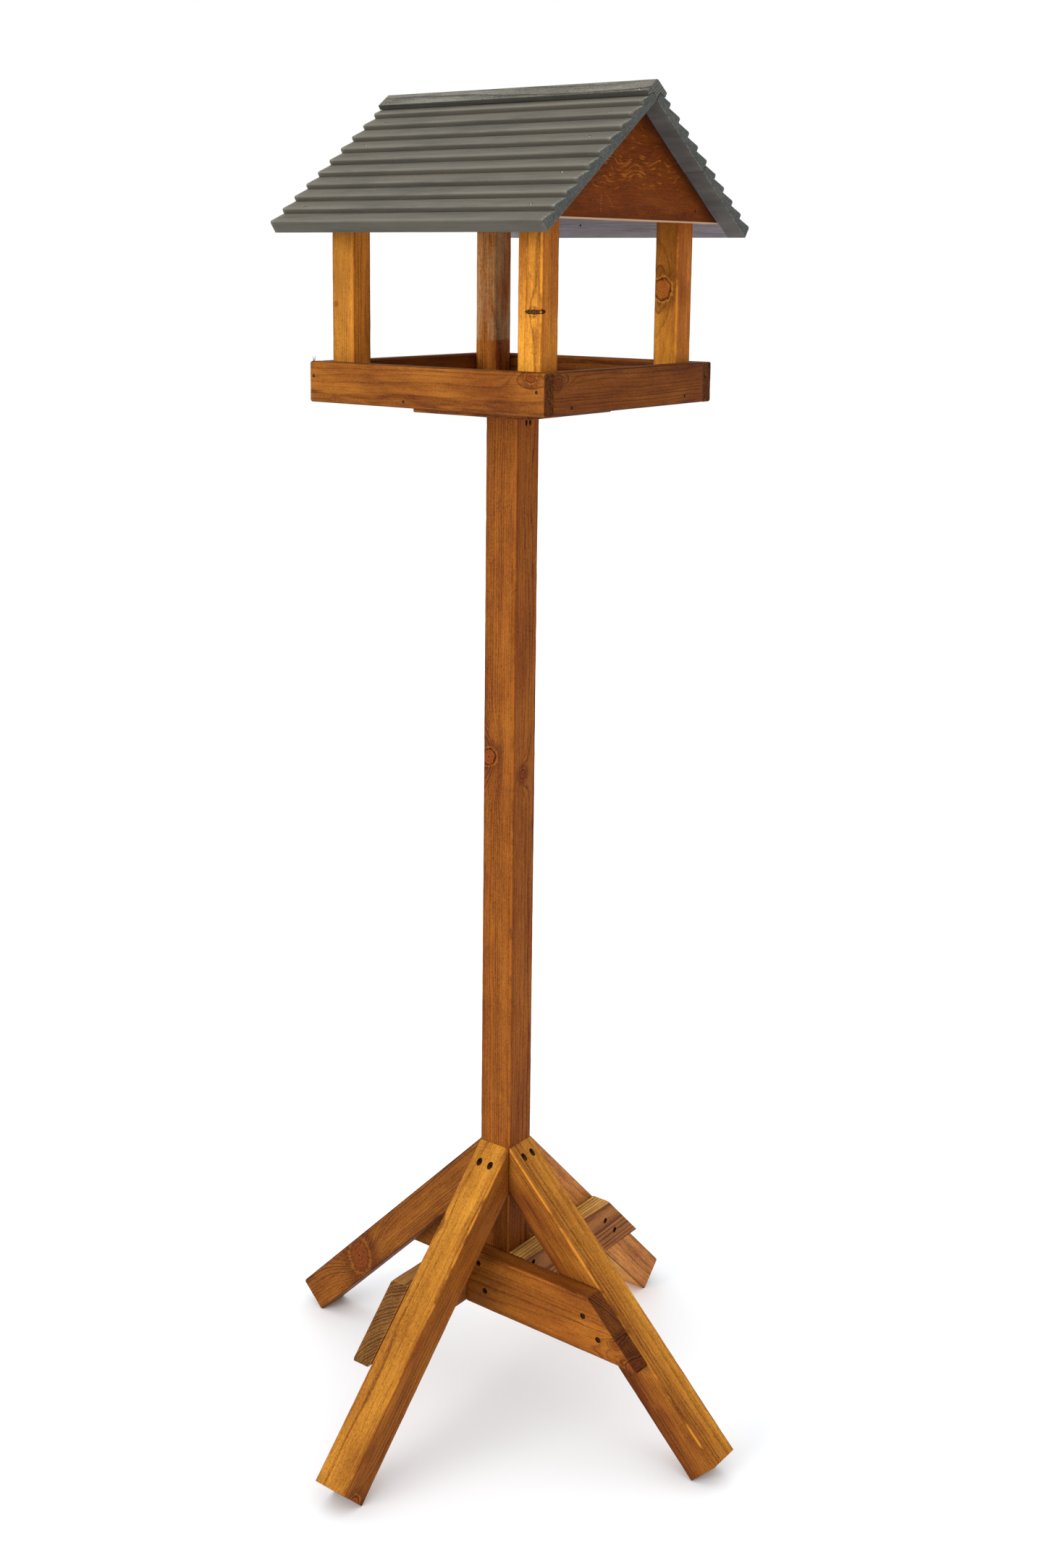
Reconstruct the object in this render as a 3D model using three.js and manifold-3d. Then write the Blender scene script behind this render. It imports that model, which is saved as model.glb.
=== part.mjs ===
// A wooden bird table: a roofed seed tray on a square pole that stands on four braced legs.
//
// Millimetres, +Z up. The origin is on the ground under the middle of the pole, and X runs
// along the roof's ridge. Front is -Y, back is +Y, left is -X and right is +X.

import * as THREE from 'three';
import { mergeVertices } from 'three/addons/utils/BufferGeometryUtils.js';
import Module from 'manifold-3d';

const wasm = await Module();
wasm.setup();

// ---------------------------------------------------------------- driving dimensions

const GAP = 0.3; // clearance kept between pieces that touch
const ARRIS = 2.5; // radius of the planed timbers' long edges

// Stand
const POST = 44; // square section of the pole and the legs
const LEG_LENGTH = 420; // along the upper face, from the pole to the foot
const LEG_ANGLE = THREE.MathUtils.degToRad(45); // below horizontal
const BRACE_WIDTH = 70;
const BRACE_THICKNESS = 25;
const BRACE_BOTTOM = 123; // height of the braces' and the pole's lower ends
const TRAY_BOTTOM = 1220;
const PLATE_SIZE = 160;
const PLATE_THICKNESS = 12;

// Tray and uprights
const TRAY_SIZE = 322;
const RIM_HEIGHT = 45;
const RIM_THICKNESS = 17;
const FLOOR_THICKNESS = 15;
const UPRIGHT = 31;

// Roof
const ROOF_ANGLE = THREE.MathUtils.degToRad(36);
const ROOF_LENGTH = 368;
const RIDGE_ABOVE_TRAY = 322; // from the tray's underside to where the slopes' undersides meet
const GABLE_ABOVE_TRAY = 199; // lower edge of the gables
const GABLE_THICKNESS = 17;
const GABLE_EDGE = 1.2; // chamfer around the gables
const LAP_PITCH = 23.4; // distance between the stepped laps of a roof board
const LAPS_PER_BOARD = 5;
const LAP_BASE = 9; // thickness of a roof board at the foot of each step
const LAP_RISE = 6; // height of each step
const LAP_NOSE = 3.6; // how far back the rounding of a step begins
const CAP_FACE = 18; // distance from the slopes' underside to the cap's upper faces
const CAP_REACH = 11; // how far the cap reaches down each slope
const CAP_ROUNDING = 4;

// Fasteners
const SCREW = { shank: 1.7, head: 3.3, headDepth: 2.4, point: 6, recess: true };
const NAIL = { shank: 1.4, head: 1.9, headDepth: 0.6, point: 3, recess: false };
const FASTENER_SIDES = 12;
const SCREW_SINK = 2.7; // depth of the screw heads below the braces' faces
const RECESS_DEPTH = 1.3;
const RECESS_SPAN = 3.6;
const RECESS_WIDTH = 0.9;
const BRACE_SCREW_LENGTH = 45;
const LEG_SCREW_SPREAD = 8; // each side of the leg's middle
const LEG_SCREW_DROPS = [13, 19.5]; // below the top of the leg: side legs, front and back legs
const LEG_SCREW_SINK = 6.2;
const PLATE_SCREW_SPREAD = 60;
const PLATE_SCREW_LENGTH = 22;
const SKEW_NAIL_ANGLE = THREE.MathUtils.degToRad(60); // above horizontal
const SKEW_NAIL_DROP = 10; // entry point below the mounting plate
const SKEW_NAIL_SPREAD = 3.5;
const SKEW_NAIL_SINK = 4.5;
const SKEW_NAIL_LENGTH = 33;

// ---------------------------------------------------------------- dimensions that follow

const HALF_POST = POST / 2;
const COS_LEG = Math.cos(LEG_ANGLE);
const SIN_LEG = Math.sin(LEG_ANGLE);
const LEG_TOP = LEG_LENGTH * SIN_LEG + POST * COS_LEG; // its lower edge then touches the ground
const BRACE_TOP = BRACE_BOTTOM + BRACE_WIDTH;
const PLATE_BOTTOM = TRAY_BOTTOM - PLATE_THICKNESS;
const POLE_TOP = PLATE_BOTTOM - GAP;
const HALF_TRAY = TRAY_SIZE / 2;
const RIM_INSIDE = HALF_TRAY - RIM_THICKNESS;
const UPRIGHT_CENTRE = RIM_INSIDE - GAP - UPRIGHT / 2;
const UPRIGHT_FOOT = TRAY_BOTTOM + FLOOR_THICKNESS + GAP;
const RIDGE = TRAY_BOTTOM + RIDGE_ABOVE_TRAY;
const GABLE_BOTTOM = TRAY_BOTTOM + GABLE_ABOVE_TRAY;
const BOARD_WIDTH = LAP_PITCH * LAPS_PER_BOARD;
const COS_ROOF = Math.cos(ROOF_ANGLE);
const SIN_ROOF = Math.sin(ROOF_ANGLE);

const X_AXIS = new THREE.Vector3(1, 0, 0);
const Y_AXIS = new THREE.Vector3(0, 1, 0);
const Z_AXIS = new THREE.Vector3(0, 0, 1);

// ---------------------------------------------------------------- materials

const pine = new THREE.MeshStandardMaterial({ color: 0xa9651f, roughness: 0.6, metalness: 0 });
const gableBoard = new THREE.MeshStandardMaterial({ color: 0x7c3c10, roughness: 0.6, metalness: 0 });
const greyPaint = new THREE.MeshStandardMaterial({ color: 0x6b6a60, roughness: 0.75, metalness: 0 });
const steel = new THREE.MeshStandardMaterial({ color: 0x8d8a80, roughness: 0.4, metalness: 0.9 });

// ---------------------------------------------------------------- solids

function toSolid(geometry) {
  const bare = geometry.clone();
  bare.deleteAttribute('normal');
  bare.deleteAttribute('uv');
  const merged = mergeVertices(bare, 1e-4);
  const vertProperties = new Float32Array(merged.attributes.position.array);
  const triVerts = new Uint32Array(merged.index.array);
  return new wasm.Manifold(new wasm.Mesh({ numProp: 3, vertProperties, triVerts }));
}

function toGeometry(solid) {
  const { vertProperties, triVerts, numProp } = solid.getMesh();
  const positions = new Float32Array((vertProperties.length / numProp) * 3);
  for (let vertex = 0; vertex * numProp < vertProperties.length; vertex += 1) {
    for (let axis = 0; axis < 3; axis += 1) {
      positions[vertex * 3 + axis] = vertProperties[vertex * numProp + axis];
    }
  }
  const geometry = new THREE.BufferGeometry();
  geometry.setAttribute('position', new THREE.BufferAttribute(positions, 3));
  geometry.setIndex(new THREE.BufferAttribute(new Uint32Array(triVerts), 1));
  geometry.computeVertexNormals();
  return geometry;
}

// A matrix that moves to a point after turning about X, Y and Z in that order.
function placeAt(x, y, z, turnX = 0, turnY = 0, turnZ = 0) {
  const turn = new THREE.Quaternion().setFromEuler(new THREE.Euler(turnX, turnY, turnZ, 'ZYX'));
  return new THREE.Matrix4().compose(new THREE.Vector3(x, y, z), turn, new THREE.Vector3(1, 1, 1));
}

function quarterTurn(quarter) {
  return new THREE.Matrix4().makeRotationZ((quarter * Math.PI) / 2);
}

function makePiece(name, geometry, material, matrix) {
  const mesh = new THREE.Mesh(geometry, material.clone());
  mesh.name = name;
  matrix.decompose(mesh.position, mesh.quaternion, mesh.scale);
  return mesh;
}

function roundedRectangle(width, depth, radius) {
  const halfWidth = width / 2;
  const halfDepth = depth / 2;
  const shape = new THREE.Shape();
  shape.moveTo(radius - halfWidth, -halfDepth);
  shape.lineTo(halfWidth - radius, -halfDepth);
  shape.absarc(halfWidth - radius, radius - halfDepth, radius, -Math.PI / 2, 0);
  shape.lineTo(halfWidth, halfDepth - radius);
  shape.absarc(halfWidth - radius, halfDepth - radius, radius, 0, Math.PI / 2);
  shape.lineTo(radius - halfWidth, halfDepth);
  shape.absarc(radius - halfWidth, halfDepth - radius, radius, Math.PI / 2, Math.PI);
  shape.lineTo(-halfWidth, radius - halfDepth);
  shape.absarc(radius - halfWidth, radius - halfDepth, radius, Math.PI, 1.5 * Math.PI);
  return shape;
}

// A planed timber of width along X, depth along Y and length along Z, from start up to end.
function makeTimber(width, depth, start, end, radius = ARRIS) {
  const outline = roundedRectangle(width, depth, radius);
  const options = { depth: end - start, bevelEnabled: false, curveSegments: 3 };
  const geometry = new THREE.ExtrudeGeometry(outline, options);
  return geometry.translate(0, 0, start);
}

// An outline in Y and Z drawn out along X, with its middle at X = 0.
function extrudeAlongX(outline, length, curveSegments = 4) {
  const options = { depth: length, bevelEnabled: false, curveSegments };
  const geometry = new THREE.ExtrudeGeometry(outline, options);
  const turn = new THREE.Matrix4().makeBasis(Y_AXIS, Z_AXIS, X_AXIS);
  return geometry.applyMatrix4(turn).translate(-length / 2, 0, 0);
}

// Takes away everything beyond a plane, on the side that its normal points to.
function cutBeyond(solid, point, normal) {
  const reach = 600;
  const block = new THREE.BoxGeometry(reach, reach, reach).translate(0, 0, reach / 2);
  const turn = new THREE.Quaternion().setFromUnitVectors(Z_AXIS, normal);
  block.applyQuaternion(turn).translate(point.x, point.y, point.z);
  return solid.subtract(toSolid(block));
}

// ---------------------------------------------------------------- fasteners

// Both profiles have the middle of the head's outer face at the origin and point down -Y.
function fastenerGeometry({ shank, head, headDepth, point, recess }, length) {
  const profile = [
    new THREE.Vector2(0, -length),
    new THREE.Vector2(shank, point - length),
    new THREE.Vector2(shank, -headDepth),
    new THREE.Vector2(head, -0.3),
    new THREE.Vector2(head, 0),
    new THREE.Vector2(0, 0),
  ];
  const body = new THREE.LatheGeometry(profile, FASTENER_SIDES);
  if (!recess) {
    return toGeometry(toSolid(body));
  }
  const slot = new THREE.BoxGeometry(RECESS_SPAN, 2 * RECESS_DEPTH, RECESS_WIDTH);
  const crossSlot = new THREE.BoxGeometry(RECESS_WIDTH, 2 * RECESS_DEPTH, RECESS_SPAN);
  return toGeometry(toSolid(body).subtract(toSolid(slot)).subtract(toSolid(crossSlot)));
}

function holeGeometry({ shank, head, headDepth, point }, length) {
  const mouth = 14; // far enough to pass out of a slanted face
  const profile = [
    new THREE.Vector2(0, -length - GAP),
    new THREE.Vector2(shank + GAP, point - length - GAP),
    new THREE.Vector2(shank + GAP, -headDepth - GAP),
    new THREE.Vector2(head + GAP, -0.3 - GAP),
    new THREE.Vector2(head + GAP, mouth),
    new THREE.Vector2(0, mouth),
  ];
  return new THREE.LatheGeometry(profile, FASTENER_SIDES);
}

// A fastener driven from a point in a direction; the point is the middle of its head.
function fastener(name, kind, length, headPoint, direction) {
  const turn = new THREE.Quaternion().setFromUnitVectors(new THREE.Vector3(0, -1, 0), direction);
  const matrix = new THREE.Matrix4().compose(headPoint, turn, new THREE.Vector3(1, 1, 1));
  return { name, kind, length, matrix };
}

function turned(item, turn, name) {
  return { ...item, name, matrix: turn.clone().multiply(item.matrix) };
}

function fastenerPiece({ name, kind, length, matrix }) {
  return makePiece(name, fastenerGeometry(kind, length), steel, matrix);
}

// Drills a piece, which stands at the given matrix, for a list of fasteners.
function drill(solid, pieceMatrix, fasteners) {
  const toPiece = pieceMatrix.clone().invert();
  let drilled = solid;
  for (const { kind, length, matrix } of fasteners) {
    const hole = holeGeometry(kind, length).applyMatrix4(toPiece.clone().multiply(matrix));
    drilled = drilled.subtract(toSolid(hole));
  }
  return toGeometry(drilled);
}

// ---------------------------------------------------------------- the right-hand quarter of the stand

// The leg's own frame has Z down the leg, X square into it from its upper face, and its origin
// where the middle of that face meets the pole.
const LEG_PLACE = placeAt(HALF_POST, 0, LEG_TOP, 0, Math.PI / 2 + LEG_ANGLE, 0);

function legScrews(drop) {
  const towardsPole = new THREE.Vector3(-1, 0, 0);
  const headX = HALF_POST + (drop / SIN_LEG) * COS_LEG - LEG_SCREW_SINK;
  const length = headX - 2; // stops short of the screw from the opposite leg
  return [-LEG_SCREW_SPREAD, LEG_SCREW_SPREAD].map((side, index) => {
    const head = new THREE.Vector3(headX, side, LEG_TOP - drop);
    return fastener(`leg_screw_${index + 1}`, SCREW, length, head, towardsPole);
  });
}

function braceOuterX(height) {
  return HALF_POST + (LEG_TOP - height) * (COS_LEG / SIN_LEG);
}

function braceScrews() {
  const headY = -HALF_POST - GAP - BRACE_THICKNESS + SCREW_SINK;
  const legMiddle = HALF_POST / SIN_LEG; // level distance from the upper face to the leg's middle
  const heights = [BRACE_TOP - 25, BRACE_TOP - 47];
  const intoLeg = heights.map((height, index) => {
    const head = new THREE.Vector3(braceOuterX(height) - legMiddle, headY, height);
    return fastener(`brace_leg_screw_${index + 1}`, SCREW, BRACE_SCREW_LENGTH, head, Y_AXIS);
  });
  const spots = [[-4, BRACE_TOP - 13], [6.5, BRACE_TOP - 46]];
  const intoPole = spots.map(([x, height], index) => {
    const head = new THREE.Vector3(x, headY, height);
    return fastener(`brace_pole_screw_${index + 1}`, SCREW, BRACE_SCREW_LENGTH - 2, head, Y_AXIS);
  });
  return { intoLeg, intoPole };
}

function legGeometry(screws) {
  const blank = makeTimber(POST, POST, -POST, LEG_LENGTH).translate(HALF_POST, 0, 0);
  const outOfPole = new THREE.Vector3(SIN_LEG, 0, -COS_LEG);
  const polePlane = outOfPole.clone().multiplyScalar(-GAP);
  return drill(cutBeyond(toSolid(blank), polePlane, outOfPole), LEG_PLACE, screws);
}

// The brace's own frame has Z along it towards the leg, X up its face and Y through it.
const BRACE_MIDDLE_Y = -HALF_POST - GAP - BRACE_THICKNESS / 2;
const BRACE_PLACE = new THREE.Matrix4()
  .makeBasis(Z_AXIS, Y_AXIS.clone().negate(), X_AXIS)
  .setPosition(-HALF_POST, BRACE_MIDDLE_Y, BRACE_BOTTOM + BRACE_WIDTH / 2);

function braceGeometry(screws) {
  const longEdge = braceOuterX(BRACE_BOTTOM) + HALF_POST;
  const blank = makeTimber(BRACE_WIDTH, BRACE_THICKNESS, 0, longEdge + POST);
  const lowerCorner = new THREE.Vector3(-BRACE_WIDTH / 2, 0, longEdge);
  const outOfLeg = new THREE.Vector3(COS_LEG, 0, SIN_LEG);
  return drill(cutBeyond(toSolid(blank), lowerCorner, outOfLeg), BRACE_PLACE, screws);
}

// ---------------------------------------------------------------- stand

const QUARTERS = ['right', 'back', 'left', 'front'];

function skewNails() {
  const climb = new THREE.Vector3(-Math.cos(SKEW_NAIL_ANGLE), 0, Math.sin(SKEW_NAIL_ANGLE));
  const nails = [];
  for (const [side, turn] of [['right', quarterTurn(0)], ['left', quarterTurn(2)]]) {
    [-SKEW_NAIL_SPREAD, SKEW_NAIL_SPREAD].forEach((y, index) => {
      const head = new THREE.Vector3(HALF_POST, y, PLATE_BOTTOM - SKEW_NAIL_DROP);
      head.addScaledVector(climb, SKEW_NAIL_SINK);
      const nail = fastener('nail', NAIL, SKEW_NAIL_LENGTH, head, climb);
      nails.push(turned(nail, turn, `skew_nail_${side}_${index + 1}`));
    });
  }
  return nails;
}

function buildStand(nails) {
  const stand = new THREE.Group();
  const polePlace = placeAt(0, 0, BRACE_BOTTOM);
  const { intoLeg, intoPole } = braceScrews();
  const screwsInPole = [...nails];

  QUARTERS.forEach((side, quarter) => {
    const group = new THREE.Group();
    group.rotation.z = (quarter * Math.PI) / 2;
    const ownLegScrews = legScrews(LEG_SCREW_DROPS[quarter % 2]);
    const legPart = legGeometry([...ownLegScrews, ...intoLeg]);
    const bracePart = braceGeometry([...intoLeg, ...intoPole]);
    group.add(makePiece(`leg_${side}`, legPart, pine, LEG_PLACE));
    group.add(makePiece(`brace_${side}`, bracePart, pine, BRACE_PLACE));
    for (const screw of [...ownLegScrews, ...intoLeg, ...intoPole]) {
      const [, stem, index] = screw.name.match(/^(.*)_(\d)$/);
      group.add(fastenerPiece({ ...screw, name: `${stem}_${side}_${index}` }));
    }
    for (const screw of [...ownLegScrews, ...intoPole]) {
      screwsInPole.push(turned(screw, quarterTurn(quarter), screw.name));
    }
    stand.add(group);
  });

  const blank = makeTimber(POST, POST, 0, POLE_TOP - BRACE_BOTTOM);
  stand.add(makePiece('pole', drill(toSolid(blank), polePlace, screwsInPole), pine, polePlace));
  return stand;
}

// ---------------------------------------------------------------- tray

function plateScrews() {
  const screws = [];
  for (const [side, x] of [['left', -PLATE_SCREW_SPREAD], ['right', PLATE_SCREW_SPREAD]]) {
    for (const [end, y] of [['front', -PLATE_SCREW_SPREAD], ['back', PLATE_SCREW_SPREAD]]) {
      const head = new THREE.Vector3(x, y, PLATE_BOTTOM + 0.4);
      screws.push(fastener(`plate_screw_${end}_${side}`, SCREW, PLATE_SCREW_LENGTH, head, Z_AXIS));
    }
  }
  return screws;
}

function buildTray(nails) {
  const tray = new THREE.Group();
  const screws = plateScrews();

  const platePlace = placeAt(0, 0, PLATE_BOTTOM);
  const plateBlank = makeTimber(PLATE_SIZE, PLATE_SIZE, 0, PLATE_THICKNESS - GAP, 1.5);
  const platePart = drill(toSolid(plateBlank), platePlace, [...screws, ...nails]);
  tray.add(makePiece('mounting_plate', platePart, pine, platePlace));

  const floorSize = 2 * (RIM_INSIDE - GAP);
  const floorPlace = placeAt(0, 0, TRAY_BOTTOM);
  const floorBlank = makeTimber(floorSize, floorSize, 0, FLOOR_THICKNESS, 1);
  const floorPart = drill(toSolid(floorBlank), floorPlace, [...screws, ...nails]);
  tray.add(makePiece('tray_floor', floorPart, pine, floorPlace));

  const rimCentre = HALF_TRAY - RIM_THICKNESS / 2;
  const rimMiddle = TRAY_BOTTOM + RIM_HEIGHT / 2;
  const sideLength = 2 * (RIM_INSIDE - GAP);
  const rims = [
    ['rim_front', TRAY_SIZE, 0, -rimCentre, Math.PI / 2],
    ['rim_back', TRAY_SIZE, 0, rimCentre, Math.PI / 2],
    ['rim_left', sideLength, -rimCentre, 0, 0],
    ['rim_right', sideLength, rimCentre, 0, 0],
  ];
  for (const [name, length, x, y, turnZ] of rims) {
    const rim = makeTimber(RIM_THICKNESS, RIM_HEIGHT, -length / 2, length / 2);
    tray.add(makePiece(name, rim, pine, placeAt(x, y, rimMiddle, Math.PI / 2, 0, turnZ)));
  }
  return tray;
}

// ---------------------------------------------------------------- house: uprights, gables, roof

// An upright's top is cut to the slope above it, which falls towards the outside of the tray.
function uprightGeometry(outwards) {
  const blank = makeTimber(UPRIGHT, UPRIGHT, 0, RIDGE - UPRIGHT_FOOT);
  const slopeNormal = new THREE.Vector3(0, outwards * SIN_ROOF, COS_ROOF);
  const ridgePoint = new THREE.Vector3(0, -outwards * UPRIGHT_CENTRE, RIDGE - UPRIGHT_FOOT);
  const underside = ridgePoint.addScaledVector(slopeNormal, -GAP);
  return toGeometry(cutBeyond(toSolid(blank), underside, slopeNormal));
}

function gableGeometry() {
  const height = RIDGE - GABLE_BOTTOM - 2 * GAP;
  const halfWidth = height / Math.tan(ROOF_ANGLE);
  const outline = new THREE.Shape();
  outline.moveTo(-halfWidth, 0);
  outline.lineTo(halfWidth, 0);
  outline.lineTo(0, height);
  const options = {
    depth: GABLE_THICKNESS - GAP - 2 * GABLE_EDGE,
    bevelThickness: GABLE_EDGE,
    bevelSize: GABLE_EDGE,
    bevelOffset: -GABLE_EDGE,
    bevelSegments: 1,
  };
  const board = new THREE.ExtrudeGeometry(outline, options).translate(0, 0, GABLE_EDGE);
  const turn = new THREE.Matrix4().makeBasis(Y_AXIS, Z_AXIS, X_AXIS);
  return toGeometry(toSolid(board.applyMatrix4(turn)));
}

// A roof board in its slope's own frame: Y down the slope, Z square out of it. Its upper face
// steps down lap by lap, each step ending in a rounded nose.
function roofBoardGeometry() {
  const outline = new THREE.Shape();
  outline.moveTo(0, 0);
  outline.lineTo(0, LAP_BASE);
  for (let lap = 1; lap <= LAPS_PER_BOARD; lap += 1) {
    const nose = lap * LAP_PITCH;
    const crest = LAP_BASE + LAP_RISE;
    const crestSlope = LAP_RISE / LAP_PITCH;
    outline.lineTo(nose - LAP_NOSE, crest - crestSlope * LAP_NOSE);
    outline.quadraticCurveTo(nose, crest, nose, crest - LAP_NOSE);
    outline.lineTo(nose, lap < LAPS_PER_BOARD ? LAP_BASE : 0);
  }
  return extrudeAlongX(outline, ROOF_LENGTH);
}

// A point of the roof's cross-section: along the slope from the ridge, and out from its underside.
function sectionPoint(side, along, out) {
  const y = along * COS_ROOF + out * SIN_ROOF;
  const z = out * COS_ROOF - along * SIN_ROOF;
  return new THREE.Vector2(side * y, z);
}

// The cap bears on the top laps of both slopes and fills the notch between the boards' ends.
function ridgeCapGeometry() {
  const lapSlope = LAP_RISE / LAP_PITCH;
  const bearing = LAP_BASE + lapSlope * CAP_REACH + 2 * GAP;
  const apex = CAP_FACE / COS_ROOF;
  const corner = [1, -1].map((side) => ({
    notch: sectionPoint(side, 0, LAP_BASE + GAP),
    foot: sectionPoint(side, CAP_REACH, bearing),
    edge: sectionPoint(side, CAP_REACH, CAP_FACE),
    shoulder: new THREE.Vector2(side * CAP_ROUNDING * COS_ROOF, apex - CAP_ROUNDING * SIN_ROOF),
  }));
  const [back, front] = corner;
  const outline = new THREE.Shape();
  outline.moveTo(0, GAP);
  outline.lineTo(back.notch.x, back.notch.y);
  outline.lineTo(back.foot.x, back.foot.y);
  outline.lineTo(back.edge.x, back.edge.y);
  outline.lineTo(back.shoulder.x, back.shoulder.y);
  outline.quadraticCurveTo(0, apex, front.shoulder.x, front.shoulder.y);
  outline.lineTo(front.edge.x, front.edge.y);
  outline.lineTo(front.foot.x, front.foot.y);
  outline.lineTo(front.notch.x, front.notch.y);
  return extrudeAlongX(outline, ROOF_LENGTH);
}

function buildHouse() {
  const house = new THREE.Group();

  for (const [side, x] of [['left', -UPRIGHT_CENTRE], ['right', UPRIGHT_CENTRE]]) {
    for (const [end, outwards] of [['front', -1], ['back', 1]]) {
      const place = placeAt(x, outwards * UPRIGHT_CENTRE, UPRIGHT_FOOT);
      house.add(makePiece(`upright_${end}_${side}`, uprightGeometry(outwards), pine, place));
    }
  }

  const gableInside = RIM_INSIDE;
  house.add(makePiece('gable_right', gableGeometry(), gableBoard, placeAt(gableInside, 0, GABLE_BOTTOM)));
  const leftPlace = placeAt(-gableInside, 0, GABLE_BOTTOM, 0, 0, Math.PI);
  house.add(makePiece('gable_left', gableGeometry(), gableBoard, leftPlace));

  for (const [end, turnZ] of [['back', 0], ['front', Math.PI]]) {
    const slope = new THREE.Group();
    slope.position.z = RIDGE;
    slope.rotation.set(-ROOF_ANGLE, 0, turnZ, 'ZYX');
    const upper = placeAt(0, GAP, 0);
    const lower = placeAt(0, BOARD_WIDTH + 2 * GAP, 0);
    slope.add(makePiece(`roof_${end}_upper`, roofBoardGeometry(), greyPaint, upper));
    slope.add(makePiece(`roof_${end}_lower`, roofBoardGeometry(), greyPaint, lower));
    house.add(slope);
  }
  house.add(makePiece('ridge_cap', ridgeCapGeometry(), greyPaint, placeAt(0, 0, RIDGE)));
  return house;
}

// ---------------------------------------------------------------- the whole bird table

const nails = skewNails();
const birdTable = new THREE.Group();
birdTable.add(buildStand(nails));
birdTable.add(buildTray(nails));
birdTable.add(buildHouse());
for (const item of [...nails, ...plateScrews()]) {
  birdTable.add(fastenerPiece(item));
}

export default birdTable;
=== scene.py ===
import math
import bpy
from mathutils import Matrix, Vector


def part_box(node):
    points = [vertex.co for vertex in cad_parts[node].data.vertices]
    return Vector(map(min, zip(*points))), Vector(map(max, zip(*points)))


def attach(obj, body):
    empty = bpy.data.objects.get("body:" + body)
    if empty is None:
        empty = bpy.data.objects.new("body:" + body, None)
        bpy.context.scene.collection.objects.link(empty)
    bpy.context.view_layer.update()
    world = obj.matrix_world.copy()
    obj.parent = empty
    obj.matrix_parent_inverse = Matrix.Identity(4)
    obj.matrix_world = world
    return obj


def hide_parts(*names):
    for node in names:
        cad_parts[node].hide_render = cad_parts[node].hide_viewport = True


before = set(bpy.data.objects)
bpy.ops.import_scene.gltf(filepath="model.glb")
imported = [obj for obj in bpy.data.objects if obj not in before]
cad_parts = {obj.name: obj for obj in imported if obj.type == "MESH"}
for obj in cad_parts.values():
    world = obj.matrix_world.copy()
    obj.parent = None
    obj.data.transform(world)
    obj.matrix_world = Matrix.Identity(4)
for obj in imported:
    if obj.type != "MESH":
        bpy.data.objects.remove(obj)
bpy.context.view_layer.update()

# A wooden bird table: stained pine stand, tray and uprights, dark gables and a painted roof.
# Lengths are in millimetres and become metres as each mesh is made. The row frame has +Z up,
# X along the ridge and -Y at the front.

from types import SimpleNamespace

import bmesh
import bpy
from mathutils import Matrix, Vector, noise

MM = 0.001

# ---------------------------------------------------------------- sizes

GAP = 0.3  # clearance between pieces that touch
ARRIS = 2.5
POST = 44.0
HALF_POST = POST / 2
BRACE_WIDTH, BRACE_THICKNESS = 70.0, 25.0
RIM_HEIGHT, RIM_THICKNESS = 45.0, 17.0
UPRIGHT = 31.0
ROOF_ANGLE = math.radians(36)
COS_ROOF, SIN_ROOF = math.cos(ROOF_ANGLE), math.sin(ROOF_ANGLE)
RIDGE_ABOVE_TRAY = 322.0
LAP_PITCH, LAPS_PER_BOARD = 23.4, 5
BOARD_WIDTH = LAP_PITCH * LAPS_PER_BOARD
UPPER_START, LOWER_START = GAP, BOARD_WIDTH + 2 * GAP  # the boards' places down a slope
LAP_BASE, LAP_RISE, LAP_NOSE = 9.0, 6.0, 3.6
CAP_FACE, CAP_REACH, CAP_ROUNDING = 18.0, 11.0, 4.0
SCREW_HEAD, SCREW_SHANK, SCREW_CONE, SCREW_POINT = 3.3, 1.7, 2.4, 6.0
NAIL_HEAD, NAIL_SHANK, NAIL_LENGTH = 1.9, 1.4, 33.0
NAIL_SPREAD, NAIL_DROP, NAIL_SINK = 3.5, 10.0, 4.5
PIN_HEAD, PIN_SHANK, PIN_LENGTH = 1.35, 0.8, 9.0  # the small nails of the boards
FOOT_CLEAR = 0.1  # keeps the feet's wear inside the CAD box
SLIVER = 0.01  # edges shorter than this are dissolved after a cut

SIDES = ("right", "back", "left", "front")
X_AXIS, Y_AXIS, Z_AXIS = Vector((1, 0, 0)), Vector((0, 1, 0)), Vector((0, 0, 1))
QUARTER = {side: Matrix.Rotation(math.pi / 2 * index, 4, "Z") for index, side in enumerate(SIDES)}
SAME = Matrix.Identity(4)


def box_mm(node):
    """A CAD node's lowest and highest corners, in millimetres."""
    low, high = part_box(node)
    return low / MM, high / MM


POLE_LOW, POLE_HIGH = box_mm("pole")
LEG_HIGH = box_mm("leg_right")[1]
LEG_TOP = LEG_HIGH.z
LEG_LENGTH = (LEG_HIGH.x - HALF_POST) * math.sqrt(2)
BRACE_BOTTOM = POLE_LOW.z
PLATE_LOW, PLATE_HIGH = box_mm("mounting_plate")
FLOOR_LOW, FLOOR_HIGH = box_mm("tray_floor")
TRAY_BOTTOM = FLOOR_LOW.z
HALF_TRAY = -box_mm("rim_front")[0].y
RIM_INSIDE = HALF_TRAY - RIM_THICKNESS
RIM_MIDDLE = HALF_TRAY - RIM_THICKNESS / 2
UPRIGHT_CENTRE = RIM_INSIDE - GAP - UPRIGHT / 2
UPRIGHT_FOOT = box_mm("upright_front_left")[0].z
RIDGE = TRAY_BOTTOM + RIDGE_ABOVE_TRAY
GABLE_BOTTOM = box_mm("gable_right")[0].z
HALF_ROOF = box_mm("ridge_cap")[1].x

# ---------------------------------------------------------------- camera, light and floor

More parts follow.
